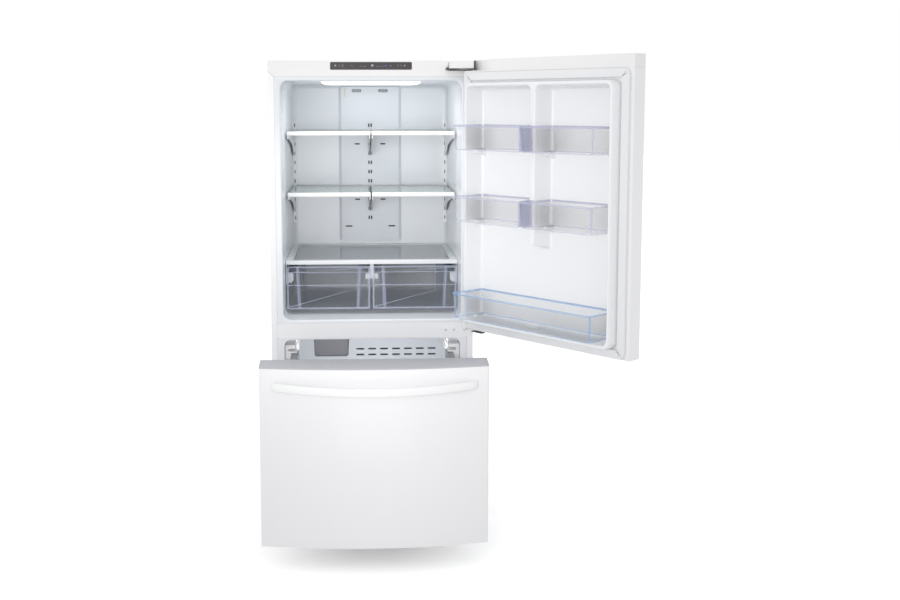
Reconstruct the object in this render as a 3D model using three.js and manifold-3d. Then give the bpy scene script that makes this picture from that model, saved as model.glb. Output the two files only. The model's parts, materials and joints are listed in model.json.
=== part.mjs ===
// Bottom freezer refrigerator: an upright cabinet with one hinged fresh-food door above and one
// pull-out freezer drawer below, both with gently bowed fronts and bow handles.
// Millimetres, +Z up, the doors face -Y. Everything is drawn about the cabinet: x = 0 is its centre
// plane, y = 0 the face that the gaskets seal on, z = 0 the floor. The door stands open on its hinge
// and the freezer drawer stands pulled out.
import * as THREE from "three";
import { mergeVertices } from "three/addons/utils/BufferGeometryUtils.js";
import Module from "manifold-3d";

// ------------------------------------------------------------------ driving dimensions
const width = 756; // cabinet, door and drawer front
const depth = 710; // sealing face to steel back
const headTop = 1698; // top of the header and of the fresh-food door
const headerRise = 35; // header above the steel roof
const headerHeight = 58; // front face of the header
const caseTop = headTop - headerRise; // steel roof
const caseBottom = 42; // lower edge of the steel sides
const sheet = 1; // painted steel sheet
const fit = 0.3; // assembly clearance between pieces that touch
const flange = 22.5; // front return of the steel sides
const linerWall = 2; // moulded liner thickness
const mouthInset = 46; // side of the case to the compartments' mouths
const openingHalf = width / 2 - mouthInset; // half width of both mouths
const lipHalf = width / 2 - flange - fit; // outer edge of the liners' lips

const freezerFloor = 118;
const freezerCeiling = 662;
const freezerLip = 4; // freezer mouth to the centre rail
const railHeight = 58; // centre rail
const lipBelow = 13; // centre rail to the fresh-food mouth
const lipAbove = 16; // fresh-food mouth to the header
const railLow = freezerCeiling + freezerLip; // centre rail, lower edge
const lipLow = railLow + railHeight; // where the fresh-food lip meets the centre rail
const lipHigh = headTop - headerHeight; // where the fresh-food lip meets the header
const freshFloor = lipLow + lipBelow; // fresh-food mouth, lower edge
const freshCeiling = lipHigh - lipAbove; // fresh-food mouth, upper edge
const freshDraft = 2; // taper of the liner walls to the rear
const mouthRadius = 26; // corner radius of the mouths
const freshWall = 60; // rear insulation of the fresh-food compartment
const freezerWall = 70; // rear insulation of the freezer
const freshBack = depth - freshWall; // fresh-food rear wall
const freezerBack = depth - freezerWall;
const machineDepth = 315; // foot of the step over the machine room to the steel back
const stepFront = depth - machineDepth;
const stepLean = 30; // how far the step's riser leans back
const stepTop = 345;
const insulation = 43; // foam between the step and the machine room
const baseTop = 58; // underside of the foamed cabinet

const gasketGap = 12; // sealing face to door liner
const doorLap = 14; // how far the door reaches down over the centre rail
const doorBottom = lipLow - doorLap;
const doorEdge = 60; // thickness of the door at its edges
const bow = 39; // how far a front bulges at its middle
const frontRadius = 9; // vertical corner radius of a front
const capHeight = 44; // plastic cap on top of the door
const hingeInset = 14.2; // hinge axis to the side of the door
const hingeX = width / 2 - hingeInset; // hinge axis of the fresh-food door
const hingeY = -34.5;
const doorAngle = 129.78; // how far the door stands open, in degrees
const pinRadius = 6;
const pinPlay = 0.4; // running clearance of pins in their bushes

const dykeInset = 49; // side of the door to the raised rim of its liner
const dykeHinge = width / 2 - dykeInset;
const dykeFree = -dykeHinge;
const dykeLift = 33; // lower edge of the door to the rim
const dykeDrop = 82; // top of the door to the rim
const dykeLow = doorBottom + dykeLift;
const dykeHigh = headTop - dykeDrop;
const dykeRise = 48;
const crestHinge = 9; // width of the rim's crest, hinge side
const crestFree = 10; // the same, free side
const crestHigh = 13;
const crestLow = 14;
const recessHinge = dykeHinge - crestHinge; // edges of the door liner's pockets at the crest
const recessFree = dykeFree + crestFree;
const recessHigh = dykeHigh - crestHigh;
const recessLow = dykeLow + crestLow;
const recessSink = 30; // pocket floor behind the flange
const recessDraft = 8;
const ribHinge = 14; // divider between the two upper pockets
const ribFree = -7;
const upperBinDrop = 226; // top of the pockets to the floor of the upper bins
const middleBinDrop = 255; // upper bins to middle bins
const lowerBinLift = 15; // foot of the pocket to the floor of the lower bin
const ribTail = 66; // divider below the middle bins
const upperBinZ = recessHigh - upperBinDrop;
const middleBinZ = upperBinZ - middleBinDrop;
const lowerBinZ = recessLow + lowerBinLift;
const ribFoot = middleBinZ - ribTail; // lower end of the divider

const drawerTravel = 455; // how far the freezer drawer stands open
const drawerBottom = 81.5;
const frontGap = 15.7; // between the door and the drawer front
const capSlope = 8.3; // fall of the drawer's top cap to its front
const drawerTopBack = doorBottom - frontGap; // top cap, rear edge
const drawerTopFront = drawerTopBack - capSlope; // top cap, front edge
const drawerEdge = 74; // thickness of the drawer front at its edges
const drawerCap = 11.5; // height of the cap at its rear

// ------------------------------------------------------------------ solids
const wasm = await Module();
wasm.setup();

// A closed geometry as a solid, with shared vertices merged.
function solid(geometry) {
  const g = geometry.index ? geometry.toNonIndexed() : geometry.clone();
  for (const name of Object.keys(g.attributes))
    if (name !== "position") g.deleteAttribute(name);
  const merged = mergeVertices(g, 1e-3);
  return new wasm.Manifold(
    new wasm.Mesh({
      numProp: 3,
      vertProperties: new Float32Array(merged.attributes.position.array),
      triVerts: new Uint32Array(merged.index.array),
    }),
  );
}
const join = (first, ...rest) => rest.flat().reduce((a, b) => a.add(b), first);
const cut = (first, ...rest) => rest.flat().reduce((a, b) => a.subtract(b), first);

// An axis-aligned block between opposite corners.
function block(x0, x1, y0, y1, z0, z1) {
  const g = new THREE.BoxGeometry(x1 - x0, y1 - y0, z1 - z0);
  return solid(g.translate((x0 + x1) / 2, (y0 + y1) / 2, (z0 + z1) / 2));
}

// Turns a shape drawn flat and extruded along +Z into one drawn in the other two axes, in the
// order (x, z) for an extrusion along y and (y, z) for one along x.
const stand = {
  x: new THREE.Matrix4().set(0, 0, 1, 0, 1, 0, 0, 0, 0, 1, 0, 0, 0, 0, 0, 1),
  y: new THREE.Matrix4().set(1, 0, 0, 0, 0, 0, -1, 0, 0, 1, 0, 0, 0, 0, 0, 1),
  z: new THREE.Matrix4(),
};
// A flat outline pushed along an axis from a to b, with optional holes.
function prism(axis, outline, a, b, holes = []) {
  const shape = new THREE.Shape(outline.map(([u, v]) => new THREE.Vector2(u, v)));
  for (const hole of holes)
    shape.holes.push(new THREE.Path(hole.map(([u, v]) => new THREE.Vector2(u, v))));
  const g = new THREE.ExtrudeGeometry(shape, { depth: b - a, bevelEnabled: false });
  g.translate(0, 0, axis === "y" ? -b : a);
  return solid(g.applyMatrix4(stand[axis]));
}
// A round bar, or a cone where the end radii differ.
function rod(axis, u, v, a, b, radius, sides = 16, radiusB = radius) {
  const [top, low] = axis === "y" ? [radius, radiusB] : [radiusB, radius];
  const g = new THREE.CylinderGeometry(top, low, b - a, sides);
  g.rotateX(Math.PI / 2).translate(0, 0, axis === "y" ? -(a + b) / 2 : (a + b) / 2);
  g.applyMatrix4(stand[axis]);
  const at = { x: [0, u, v], y: [u, 0, v], z: [u, v, 0] }[axis];
  return solid(g.translate(...at));
}
// A profile of [radius, height] turned about a vertical axis at (x, y).
function turned(x, y, profile, sides = 20) {
  const points = profile.map(([r, h]) => new THREE.Vector2(r, h));
  const g = new THREE.LatheGeometry(points, sides).rotateX(Math.PI / 2);
  return outward(g.translate(x, y, 0));
}
// Turns a closed mesh's faces outwards, whichever way its loops ran.
function outward(g) {
  let s = solid(g);
  if (s.volume() < 0) {
    const flipped = g.index ? g.toNonIndexed() : g.clone();
    const p = flipped.attributes.position;
    for (let i = 0; i < p.count; i += 3)
      for (const k of ["X", "Y", "Z"]) {
        const keep = p["get" + k](i + 1);
        p["set" + k](i + 1, p["get" + k](i + 2));
        p["set" + k](i + 2, keep);
      }
    s = solid(flipped);
  }
  return s;
}
// A skin over a row of closed loops, each a list of [x, y, z] with the same count.
function loft(loops) {
  const at = loops.flat().flat();
  const n = loops[0].length;
  const faces = [];
  for (let k = 0; k + 1 < loops.length; k++)
    for (let i = 0; i < n; i++) {
      const j = (i + 1) % n;
      const [a, b, c, d] = [k * n + i, k * n + j, (k + 1) * n + j, (k + 1) * n + i];
      faces.push(a, b, c, a, c, d);
    }
  const ends = [0, (loops.length - 1) * n];
  ends.forEach((start, side) => {
    const loop = loops[side ? loops.length - 1 : 0];
    // the end cap is flattened along the axis that it spans least
    const spans = [0, 1, 2].map(
      (k) => Math.max(...loop.map((p) => p[k])) - Math.min(...loop.map((p) => p[k])),
    );
    const drop = spans.indexOf(Math.min(...spans));
    const [u, v] = [0, 1, 2].filter((k) => k !== drop);
    const flat = loop.map((p) => new THREE.Vector2(p[u], p[v]));
    for (const [a, b, c] of THREE.ShapeUtils.triangulateShape(flat, []))
      if (THREE.ShapeUtils.isClockWise(flat) === !!side) faces.push(start + a, start + c, start + b);
      else faces.push(start + a, start + b, start + c);
  });
  const g = new THREE.BufferGeometry();
  g.setAttribute("position", new THREE.Float32BufferAttribute(at, 3));
  g.setIndex(faces);
  return g;
}

// ------------------------------------------------------------------ outlines
// A rectangle with rounded corners, as [u, v] points.
function roundRect(u0, u1, v0, v1, radius, steps = 4) {
  const out = [];
  const corners = [
    [u1 - radius, v1 - radius, 0],
    [u0 + radius, v1 - radius, 90],
    [u0 + radius, v0 + radius, 180],
    [u1 - radius, v0 + radius, 270],
  ];
  for (const [cu, cv, from] of corners)
    for (let i = 0; i <= steps; i++) {
      const a = THREE.MathUtils.degToRad(from + (90 * i) / steps);
      out.push([cu + radius * Math.cos(a), cv + radius * Math.sin(a)]);
    }
  return out;
}
// A rounded rectangle in x and z at depth y, as a loop for loft().
const ring = (x0, x1, z0, z1, radius, y, steps = 4) =>
  roundRect(x0, x1, z0, z1, radius, steps).map(([x, z]) => [x, y, z]);
const ringSolid = (...rings) => outward(loft(rings));

// Where a bowed front lies at x: its edge stands at y = -edge behind the bulge.
const bowRadius = (half) => (half * half + bow * bow) / (2 * bow);
function bowFace(x, edge, half = width / 2) {
  const r = bowRadius(half);
  return -edge - (Math.sqrt(r * r - x * x) - (r - bow));
}
// Plan of a front: flat behind, bowed before, with rounded vertical corners.
function frontPlan(back, edge, inset = 0, steps = 12) {
  const half = width / 2 - inset;
  const r = Math.max(frontRadius - inset, 1);
  const out = [[-half, back]];
  const face = (x) => bowFace(x, edge) + inset;
  const corner = face(half - r);
  for (let i = 0; i <= 3; i++) {
    const a = (Math.PI / 2) * (i / 3);
    out.push([-half + r - r * Math.cos(a), corner + r - r * Math.sin(a)]);
  }
  for (let i = 1; i < steps; i++) {
    const x = -half + r + ((2 * half - 2 * r) * i) / steps;
    out.push([x, face(x)]);
  }
  for (let i = 3; i >= 0; i--) {
    const a = (Math.PI / 2) * (i / 3);
    out.push([half - r + r * Math.cos(a), corner + r - r * Math.sin(a)]);
  }
  out.push([half, back]);
  return out;
}

// ------------------------------------------------------------------ finishes
const finish = (colour, roughness, metalness = 0, extra = {}) =>
  new THREE.MeshStandardMaterial({ color: colour, roughness, metalness, ...extra });
const whiteSteel = finish(0xf1f1f2, 0.3, 0.1);
const whitePlastic = finish(0xf0f0f0, 0.38);
const linerPlastic = finish(0xdfe4ea, 0.3);
const doorPlastic = finish(0xf4f5f7, 0.35);
const greyCap = finish(0xc0c1c4, 0.45);
const darkPanel = finish(0x4d484b, 0.25);
const darkSteel = finish(0x5a5a58, 0.45, 0.7);
const zincSteel = finish(0xb9bcc0, 0.5, 0.8);
const foamCore = finish(0xe8dfb8, 0.9);
const sealRubber = finish(0xeeeeee, 0.7);
const shelfGlass = finish(0xdfeee9, 0.05, 0, { transparent: true, opacity: 0.3 });
const clearPlastic = finish(0xdce8f2, 0.08, 0, { transparent: true, opacity: 0.4 });
const lampLens = finish(0xfdfdfb, 0.2);
const ductPlastic = finish(0xd9e0e8, 0.35);
const freezerPlastic = finish(0xd2d7dd, 0.4);
const blackPaint = finish(0x1d1e20, 0.5, 0.3);
const darkPlastic = finish(0x2f3032, 0.6);
const finStock = finish(0xaeb4b8, 0.45, 0.9);

// ------------------------------------------------------------------ assembly
const refrigerator = new THREE.Group();
const model = new THREE.Group(); // drawn about the cabinet
refrigerator.add(model);
const cabinet = new THREE.Group();
const doorSwing = new THREE.Group(); // turns about the hinge axis
doorSwing.position.set(hingeX, hingeY, 0);
doorSwing.rotation.z = THREE.MathUtils.degToRad(doorAngle);
const door = new THREE.Group(); // drawn as if shut
door.position.set(-hingeX, -hingeY, 0);
doorSwing.add(door);
const drawer = new THREE.Group(); // drawn as if shut
drawer.position.set(0, -drawerTravel, 0);
model.add(cabinet, doorSwing, drawer);

function part(name, shape, material, parent = cabinet) {
  const { vertProperties, triVerts, numProp } = shape.getMesh();
  const points = new Float32Array((vertProperties.length / numProp) * 3);
  for (let i = 0; i < points.length / 3; i++)
    points.set(vertProperties.subarray(i * numProp, i * numProp + 3), i * 3);
  const g = new THREE.BufferGeometry();
  g.setAttribute("position", new THREE.BufferAttribute(points, 3));
  g.setIndex(new THREE.BufferAttribute(new Uint32Array(triVerts), 1));
  g.computeVertexNormals();
  const mesh = new THREE.Mesh(g, material);
  mesh.name = name;
  parent.add(mesh);
  return mesh;
}

// ------------------------------------------------------------------ steel case
const half = width / 2;
const headDepth = 18; // header in front of the steel roof
const mitre = flange; // the header meets the side returns on a 45 degree seam
// Front outline of the header, grown by g.
const headOutline = (g = 0) => [
  [-half - (g ? 2 : 0), headTop + g],
  [-half - (g ? 2 : 0), lipHigh + mitre - 1.5 * g + (g ? 2 : 0)],
  [-half + mitre - g, lipHigh - g],
  [half - mitre + g, lipHigh - g],
  [half + (g ? 2 : 0), lipHigh + mitre - 1.5 * g + (g ? 2 : 0)],
  [half + (g ? 2 : 0), headTop + g],
];
const riserY = stepFront + insulation + 10; // front wall of the machine room
const riserTopY = riserY + 22;
const machineTop = stepTop - insulation - linerWall;
const bottomRailTop = freezerFloor - 16;
const railInset = 2; // shadow line between the centre rail and the side returns

const wrap = cut(
  block(-half, half, 0, depth, caseBottom, caseTop),
  block(-half + sheet, half - sheet, -1, depth + 1, caseBottom - 1, caseTop - sheet),
);
const frontReturns = cut(
  block(-half, half, 0, sheet, baseTop - sheet, caseTop - sheet),
  block(-half + flange, half - flange, -1, 2, bottomRailTop, caseTop),
);
const centreRail = join(
  block(-half + flange + railInset, half - flange - railInset, 0, 1.2, railLow, lipLow),
  block(-half + flange / 2, half - flange / 2, sheet, 3, railLow + 4, lipLow - 4),
);
// Bottom sheet: under the freezer, up the riser and over the machine room.
const bottomSheet = prism(
  "x",
  [
    [0, baseTop - sheet],
    [riserY, baseTop - sheet],
    [riserTopY, machineTop - sheet],
    [depth - 5, machineTop - sheet],
    [depth - 5, machineTop],
    [riserTopY - sheet, machineTop],
    [riserY - sheet, baseTop],
    [0, baseTop],
  ],
  -half + sheet / 2,
  half - sheet / 2,
);
const outerCase = cut(
  join(wrap, frontReturns, centreRail, bottomSheet),
  prism("y", headOutline(fit), -1, headDepth + fit),
);
part("outer_case", outerCase, whiteSteel);

// Steel back with pressed beads.
const beadDepth = 4;
const beadXs = [-270, -90, 90, 270];
const beadZ = [stepTop + 75, caseTop - 83];
let back = block(-half + sheet + fit, half - sheet - fit, depth - sheet, depth,
  machineTop + fit, caseTop - sheet - fit);
for (const x of beadXs)
  back = join(back, block(x - 16, x + 16, depth - beadDepth - sheet, depth, ...beadZ));
for (const x of beadXs)
  back = cut(back, block(x - 15, x + 15, depth - beadDepth, depth + 1, beadZ[0] + sheet,
    beadZ[1] - sheet));
part("back_panel", back, zincSteel);

// ------------------------------------------------------------------ liners
// Fresh-food compartment: inner face at depth y, grown by g.
const freshRing = (y, g = 0) => {
  const t = (y / freshBack) * freshDraft;
  return ring(-openingHalf + t - g, openingHalf - t + g, freshFloor + t - g,
    freshCeiling - 2 * t + g, mouthRadius + g, y);
};
const freshHollow = ringSolid(freshRing(-2, 4), freshRing(5), freshRing(freshBack));
const freshBody = (g) =>
  ringSolid(freshRing(fit, g), freshRing(freshBack + g, g));
const lip = (z0, z1) => block(-lipHalf, lipHalf, fit, linerWall + fit, z0, z1);
part(
  "fresh_food_liner",
  cut(join(lip(lipLow + fit, lipHigh - fit), freshBody(linerWall)), freshHollow),
  linerPlastic,
);

// Freezer compartment with the step over the machine room.
const stepTopY = stepFront + stepLean;
const freezerSide = (g) => [
  [fit, freezerFloor - g],
  [stepFront + g, freezerFloor - g],
  [stepTopY + g, stepTop - g],
  [freezerBack + g, stepTop - g],
  [freezerBack + g, freezerCeiling + g],
  [fit, freezerCeiling + g],
];
const freezerHalf = openingHalf - 2;
const freezerSection = (g, y0, y1) =>
  prism("y", roundRect(-freezerHalf - g, freezerHalf + g, freezerFloor - g,
    freezerCeiling + g, mouthRadius - 2 + g), y0, y1);
const freezerBody = (g) =>
  prism("x", freezerSide(g), -half, half).intersect(freezerSection(g, 0, depth));
const freezerHollow = freezerBody(0);
part(
  "freezer_liner",
  cut(
    join(lip(bottomRailTop + fit, railLow - fit), freezerBody(linerWall)),
    freezerHollow,
    freezerSection(0, -1, 4),
  ),
  linerPlastic,
);

// Insulation between the case and the liners.
const foamGap = linerWall + fit;
const beadBack = depth - beadDepth - sheet - fit;
const foamBlock = cut(
  block(-half + sheet + fit, half - sheet - fit, 3 + fit, beadBack, baseTop + fit,
    caseTop - sheet - fit),
  prism(
    "x",
    [
      [riserY - sheet - fit - 1, 0],
      [riserY - sheet - fit, baseTop],
      [riserTopY - sheet - fit, machineTop + fit],
      [depth, machineTop + fit],
      [depth, 0],
    ],
    -half,
    half,
  ),
  block(-half, half, 0, headDepth + fit, lipHigh - fit, headTop),
  freshBody(foamGap),
  freezerBody(foamGap),
);
part("cabinet_foam", foamBlock, foamCore);

// ------------------------------------------------------------------ header and controls
const headBack = 112; // where the header's hood runs out on the roof
const hingeNotchX = half - 96; // the header is cut away from here for the top hinge
const hingeNotchZ = caseTop - 2;
const panel = { x0: -150, x1: 149, z0: caseTop + 2, z1: headTop - 5.5, sink: 3, radius: 4 };
const hood = prism(
  "x",
  [
    [0, caseTop + fit],
    [headBack, caseTop + fit],
    [headBack - 22, headTop - 4],
    [headBack - 34, headTop],
    [1.5, headTop],
    [0, headTop - 1.5],
  ],
  -half,
  half,
);
const headFront = prism("y", headOutline(), 0, headDepth);
const header = cut(
  join(headFront, hood),
  block(hingeNotchX, half + 1, -1, headBack + 10, hingeNotchZ, headTop + 1),
  prism("y", roundRect(panel.x0 - fit, panel.x1 + fit, panel.z0 - fit, panel.z1 + fit,
    panel.radius), -1, panel.sink + fit),
);
part("top_header", header, whitePlastic);
part(
  "control_panel",
  prism("y", roundRect(panel.x0, panel.x1, panel.z0, panel.z1, panel.radius), -0.5, panel.sink),
  darkPanel,
);

// ------------------------------------------------------------------ fresh-food rear wall
const cover = {
  half: openingHalf - 2.5, front: 115, back: freshBack - 2, top: freshFloor + 207, thick: 15,
  border: 27, rear: 44,
};
const slotTop = freshCeiling - 173.1; // ladder slots, the highest
const slotFoot = cover.top + 112.9; // and the lowest
const slotCount = 11;
const slotPitch = (slotTop - slotFoot) / (slotCount - 1);
const slotSize = { w: 6, h: 16 };
const ladderFace = freshBack - 10; // plane of the ladders' faces
const ladderX = openingHalf - 11.5; // side ladders
const centreSlotX = 5; // twin columns in the air duct
const slotZ = (i) => slotTop - i * slotPitch;
const seatBack = freshBack - fit; // pieces fixed to the rear wall end here

// Two columns of slots would be cut the same way, so each column is one list of blocks.
const slotColumn = (x) =>
  Array.from({ length: slotCount }, (_, i) =>
    block(x - slotSize.w / 2, x + slotSize.w / 2, ladderFace - 1, ladderFace + 4,
      slotZ(i) - slotSize.h / 2, slotZ(i) + slotSize.h / 2),
  );
function ladder(x) {
  const z0 = slotZ(slotCount - 1) - 20;
  const z1 = slotTop + 14;
  return cut(
    prism(
      "z",
      [
        [x - 9, seatBack], [x - 9, ladderFace + 1], [x - 8, ladderFace],
        [x + 8, ladderFace], [x + 9, ladderFace + 1], [x + 9, seatBack],
        [x + 7, seatBack], [x + 7, ladderFace + 2], [x - 7, ladderFace + 2], [x - 7, seatBack],
      ],
      z0,
      z1,
    ),
    slotColumn(x),
  );
}
part("shelf_track_left", ladder(-ladderX), whiteSteel);
part("shelf_track_right", ladder(ladderX), whiteSteel);

const duct = { half: 132.5, z0: cover.top + 16, z1: freshCeiling - 12, wall: 2.5 };
const ductPlan = (g, face) => [
  [-duct.half + g, seatBack + (g ? 1 : 0)],
  [-duct.half + g, ladderFace + 7],
  [-duct.half + 11 + g / 2, face],
  [duct.half - 11 - g / 2, face],
  [duct.half - g, ladderFace + 7],
  [duct.half - g, seatBack + (g ? 1 : 0)],
];
const slotHole = (x, z, w, h) =>
  prism("y", roundRect(x - w / 2, x + w / 2, z - h / 2, z + h / 2, h / 2 - 0.2, h > 8 ? 2 : 1),
    ladderFace - 1, ladderFace + 5);
const ductCover = cut(
  prism("z", ductPlan(0, ladderFace), duct.z0, duct.z1),
  prism("z", ductPlan(duct.wall, ladderFace + duct.wall), duct.z0 + duct.wall,
    duct.z1 - duct.wall),
  slotColumn(-centreSlotX),
  slotColumn(centreSlotX),
  [-1, 1].flatMap((s) => [
    slotHole(s * 56, duct.z1 - 15, 41, 14),
    slotHole(s * 54.5, slotZ(2), 22, 6),
    slotHole(s * 54.5, slotZ(8), 22, 6),
    slotHole(s * 92, duct.z0 + 60, 30, 6),
  ]),
);
part("air_duct_cover", ductCover, ductPlastic);

// Ceiling lamp: a shallow domed lens.
const lamp = { half: 186, y0: 62, y1: 186, drop: 11 };
const lampZ = (y) => freshCeiling - (2 * freshDraft * y) / freshBack - fit - 0.6;
const lampLoop = (inset, drop) =>
  roundRect(-lamp.half + inset, lamp.half - inset, lamp.y0 + inset, lamp.y1 - inset,
    26 - inset / 2).map(([x, y]) => [x, y, lampZ(lamp.y1) - drop]);
part(
  "ceiling_lamp_cover",
  outward(loft([lampLoop(0, 0), lampLoop(0.5, 3), lampLoop(6, 8), lampLoop(22, lamp.drop)])),
  lampLens,
);

// ------------------------------------------------------------------ cantilever shelves
const shelf = {
  front: 177, back: ladderFace - 3, inner: 3, outer: ladderX + 2, trim: 15.6, hookDrop: 24,
};
const glassThick = 4;
const shelfLevels = { upper: slotZ(1) + shelf.hookDrop, lower: slotZ(7) + shelf.hookDrop };
const glassDrop = 2; // glass lies this far under the trim's top
const bracketThick = 3;
const hookReach = 6; // how far a hook passes behind the ladder's face
function bracket(x0, top) {
  const under = top - glassDrop - glassThick - 1; // plate's upper edge, below the glass
  const heel = shelf.back - 0.6;
  const deep = top - shelf.hookDrop - 2 * slotPitch - 8;
  const plate = prism(
    "x",
    [
      [shelf.front + 4, under],
      [heel, under],
      [heel, deep],
      [shelf.back - 22, deep],
      [shelf.back - 150, top - 62],
      [shelf.front + 120, top - 34],
      [shelf.front + 4, top - 27],
    ],
    x0,
    x0 + bracketThick,
  );
  const hooks = [0, 2].map((i) => {
    const z = top - shelf.hookDrop - i * slotPitch;
    return prism(
      "x",
      [
        [shelf.back - 4, z - 5],
        [ladderFace + 3.2, z - 5],
        [ladderFace + 3.2, z - 7.5],
        [ladderFace + hookReach, z - 7.5],
        [ladderFace + hookReach, z + 2],
        [ladderFace + 3.2, z + 5],
        [shelf.back - 4, z + 5],
      ],
      x0,
      x0 + bracketThick,
    );
  });
  return join(plate, hooks);
}
function halfShelf(side, level) {
  const top = shelfLevels[level];
  const [x0, x1] = side === "right" ? [shelf.inner, shelf.outer] : [-shelf.outer, -shelf.inner];
  const sign = side === "right" ? 1 : -1;
  const innerX = sign * centreSlotX - bracketThick / 2;
  const outerX = sign * ladderX - bracketThick / 2;
  const front = prism(
    "x",
    [
      [shelf.front + 3, top],
      [shelf.front + 0.8, top - 1.2],
      [shelf.front, top - 4],
      [shelf.front, top - shelf.trim + 4],
      [shelf.front + 2.5, top - shelf.trim],
      [shelf.front + 16, top - shelf.trim],
      [shelf.front + 20, top - shelf.trim + 4],
      [shelf.front + 20, top],
    ],
    x0,
    x1,
  );
  const rear = block(x0, x1, shelf.back - 16, shelf.back, top - 12, top);
  const glassSlot = block(x0 - 1, x1 + 1, shelf.front + 10, shelf.back - 6,
    top - glassDrop - glassThick - fit, top - glassDrop + fit);
  const frame = join(
    cut(join(front, rear), glassSlot),
    bracket(innerX, top),
    bracket(outerX, top),
  );
  part("shelf_frame_" + level + "_" + side, frame, whitePlastic);
  part(
    "shelf_glass_" + level + "_" + side,
    block(x0 + 1, x1 - 1, shelf.front + 10 + fit, shelf.back - 6 - fit,
      top - glassDrop - glassThick, top - glassDrop),
    shelfGlass,
  );
}
for (const level of ["upper", "lower"])
  for (const side of ["left", "right"]) halfShelf(side, level);

// ------------------------------------------------------------------ crispers
const crisper = {
  front: cover.front + 3, back: cover.back - 44, bottom: freshFloor + 19, top: cover.top - 22,
  wall: 2.6, inset: 32, taper: 7,
  left: [4.5 - cover.half, -7], right: [3, cover.half - 4.5],
};
const runnerTop = crisper.top - 26;
const runnerY = [crisper.front + 14, cover.back - 14];
const coverGlassZ = cover.top - 1.5; // glass lies just under the frame's top
const glassRect = (g) =>
  roundRect(-cover.half + cover.border - g, cover.half - cover.border + g,
    cover.front + cover.border - g, cover.back - cover.rear + g, 8, 3);
const coverPlate = cut(
  prism("x", [
    [cover.front + 3, cover.top], [cover.front, cover.top - 3],
    [cover.front, cover.top - cover.thick + 1.5], [cover.front + 2, cover.top - cover.thick],
    [cover.back, cover.top - cover.thick], [cover.back, cover.top],
  ], -cover.half, cover.half),
  prism("z", glassRect(-7), cover.top - cover.thick - 1, cover.top + 1),
  prism("z", glassRect(0), coverGlassZ - glassThick - fit, cover.top + 1),
);
const skirt = (s) =>
  block(Math.min(s * cover.half, s * (cover.half - 3)), Math.max(s * cover.half, s * (cover.half - 3)),
    cover.front + 6, cover.back - 8, runnerTop - 44, cover.top - cover.thick + 1);
const sideRunner = (s) =>
  prism("y", [
    [s * (cover.half - 2), runnerTop], [s * (cover.half - 27.5), runnerTop],
    [s * (cover.half - 27.5), runnerTop - 30], [s * (cover.half - 19.5), runnerTop - 39],
    [s * (cover.half - 2), runnerTop - 39],
  ], ...runnerY);
const hanger = prism("y", [
  [-7.5, cover.top - cover.thick + 1], [-7.5, runnerTop - 4], [-23, runnerTop - 4],
  [-25, runnerTop - 7], [-25, runnerTop - 23], [-22, runnerTop - 26], [22, runnerTop - 26],
  [25, runnerTop - 23], [25, runnerTop - 7], [23, runnerTop - 4], [7.5, runnerTop - 4],
  [7.5, cover.top - cover.thick + 1],
], ...runnerY);
part("crisper_cover_frame",
  join(coverPlate, skirt(-1), skirt(1), sideRunner(-1), sideRunner(1), hanger), whitePlastic);
part("crisper_cover_glass",
  prism("z", glassRect(-fit - 0.2), coverGlassZ - glassThick, coverGlassZ), shelfGlass);

// One drawer: a wide clear front, a tapered body and rims that ride on the runners.
function crisperDrawer(name, [x0, x1], centreSide) {
  const c = crisper;
  // the rims end short of the side runners' skirts and of the hanger's post
  const rimEnd = (v) => (v === centreSide ? Math.sign(v) * 9.5 : v - Math.sign(v) * 2.5);
  const bodyX0 = x0 + c.inset;
  const bodyX1 = x1 - c.inset;
  const bodyRing = (z, g) => {
    const t = ((c.top - z) / (c.top - c.bottom)) * c.taper;
    return roundRect(bodyX0 + t + g, bodyX1 - t - g, c.front + 2 + g, c.back - 3 * t - g,
      14 - g, 3).map(([x, y]) => [x, y, z]);
  };
  const shell = outward(loft([bodyRing(c.bottom, 0), bodyRing(c.top, 0)]));
  const inside = outward(loft([bodyRing(c.bottom + 3, c.wall), bodyRing(c.top + 1, c.wall)]));
  const front = join(
    prism("y", roundRect(x0, x1, c.bottom, c.top, 5, 2), c.front, c.front + 3.4),
    // raised edge round the front and the pull rail across it
    cut(
      prism("y", roundRect(x0, x1, c.bottom, c.top, 5, 2), c.front - 2.6, c.front + 1),
      prism("y", roundRect(x0 + 6, x1 - 6, c.bottom + 7, c.top - 6, 3, 1), c.front - 4,
        c.front + 2),
    ),
    block(x0 + 3, x1 - 3, c.front - 2.6, c.front + 1, c.top - 75, c.top - 71),
    block(x0 + 3, x1 - 3, c.front - 2.6, c.front + 1, c.top - 25, c.top - 22),
  );
  const rimZ = [runnerTop + fit, runnerTop + fit + 3];
  const rims = [
    block(rimEnd(x0), bodyX0 + 4, c.front + 2, c.back - 8, ...rimZ),
    block(bodyX1 - 4, rimEnd(x1), c.front + 2, c.back - 8, ...rimZ),
  ];
  part(name, cut(join(shell, front, rims), inside), clearPlastic);
}
crisperDrawer("crisper_drawer_left", crisper.left, crisper.left[1]);
crisperDrawer("crisper_drawer_right", crisper.right, crisper.right[0]);

// ------------------------------------------------------------------ freezer compartment
const evap = {
  front: freezerBack - 80, wall: 3, z0: stepTop + fit, z1: freezerCeiling - fit,
  slot: { w: 34, h: 7, columns: 7, rows: 4, x: -47, z: freezerCeiling - 161.3, px: 51, pz: 25.2 },
  fanX: 0, fanZ: freezerCeiling - 64, fanRadius: 46,
};
const evapSection = (y0, y1, g = fit) =>
  prism("y", roundRect(-freezerHalf + g, freezerHalf - g, evap.z0, evap.z1, mouthRadius - 2, 3),
    y0, y1);
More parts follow.
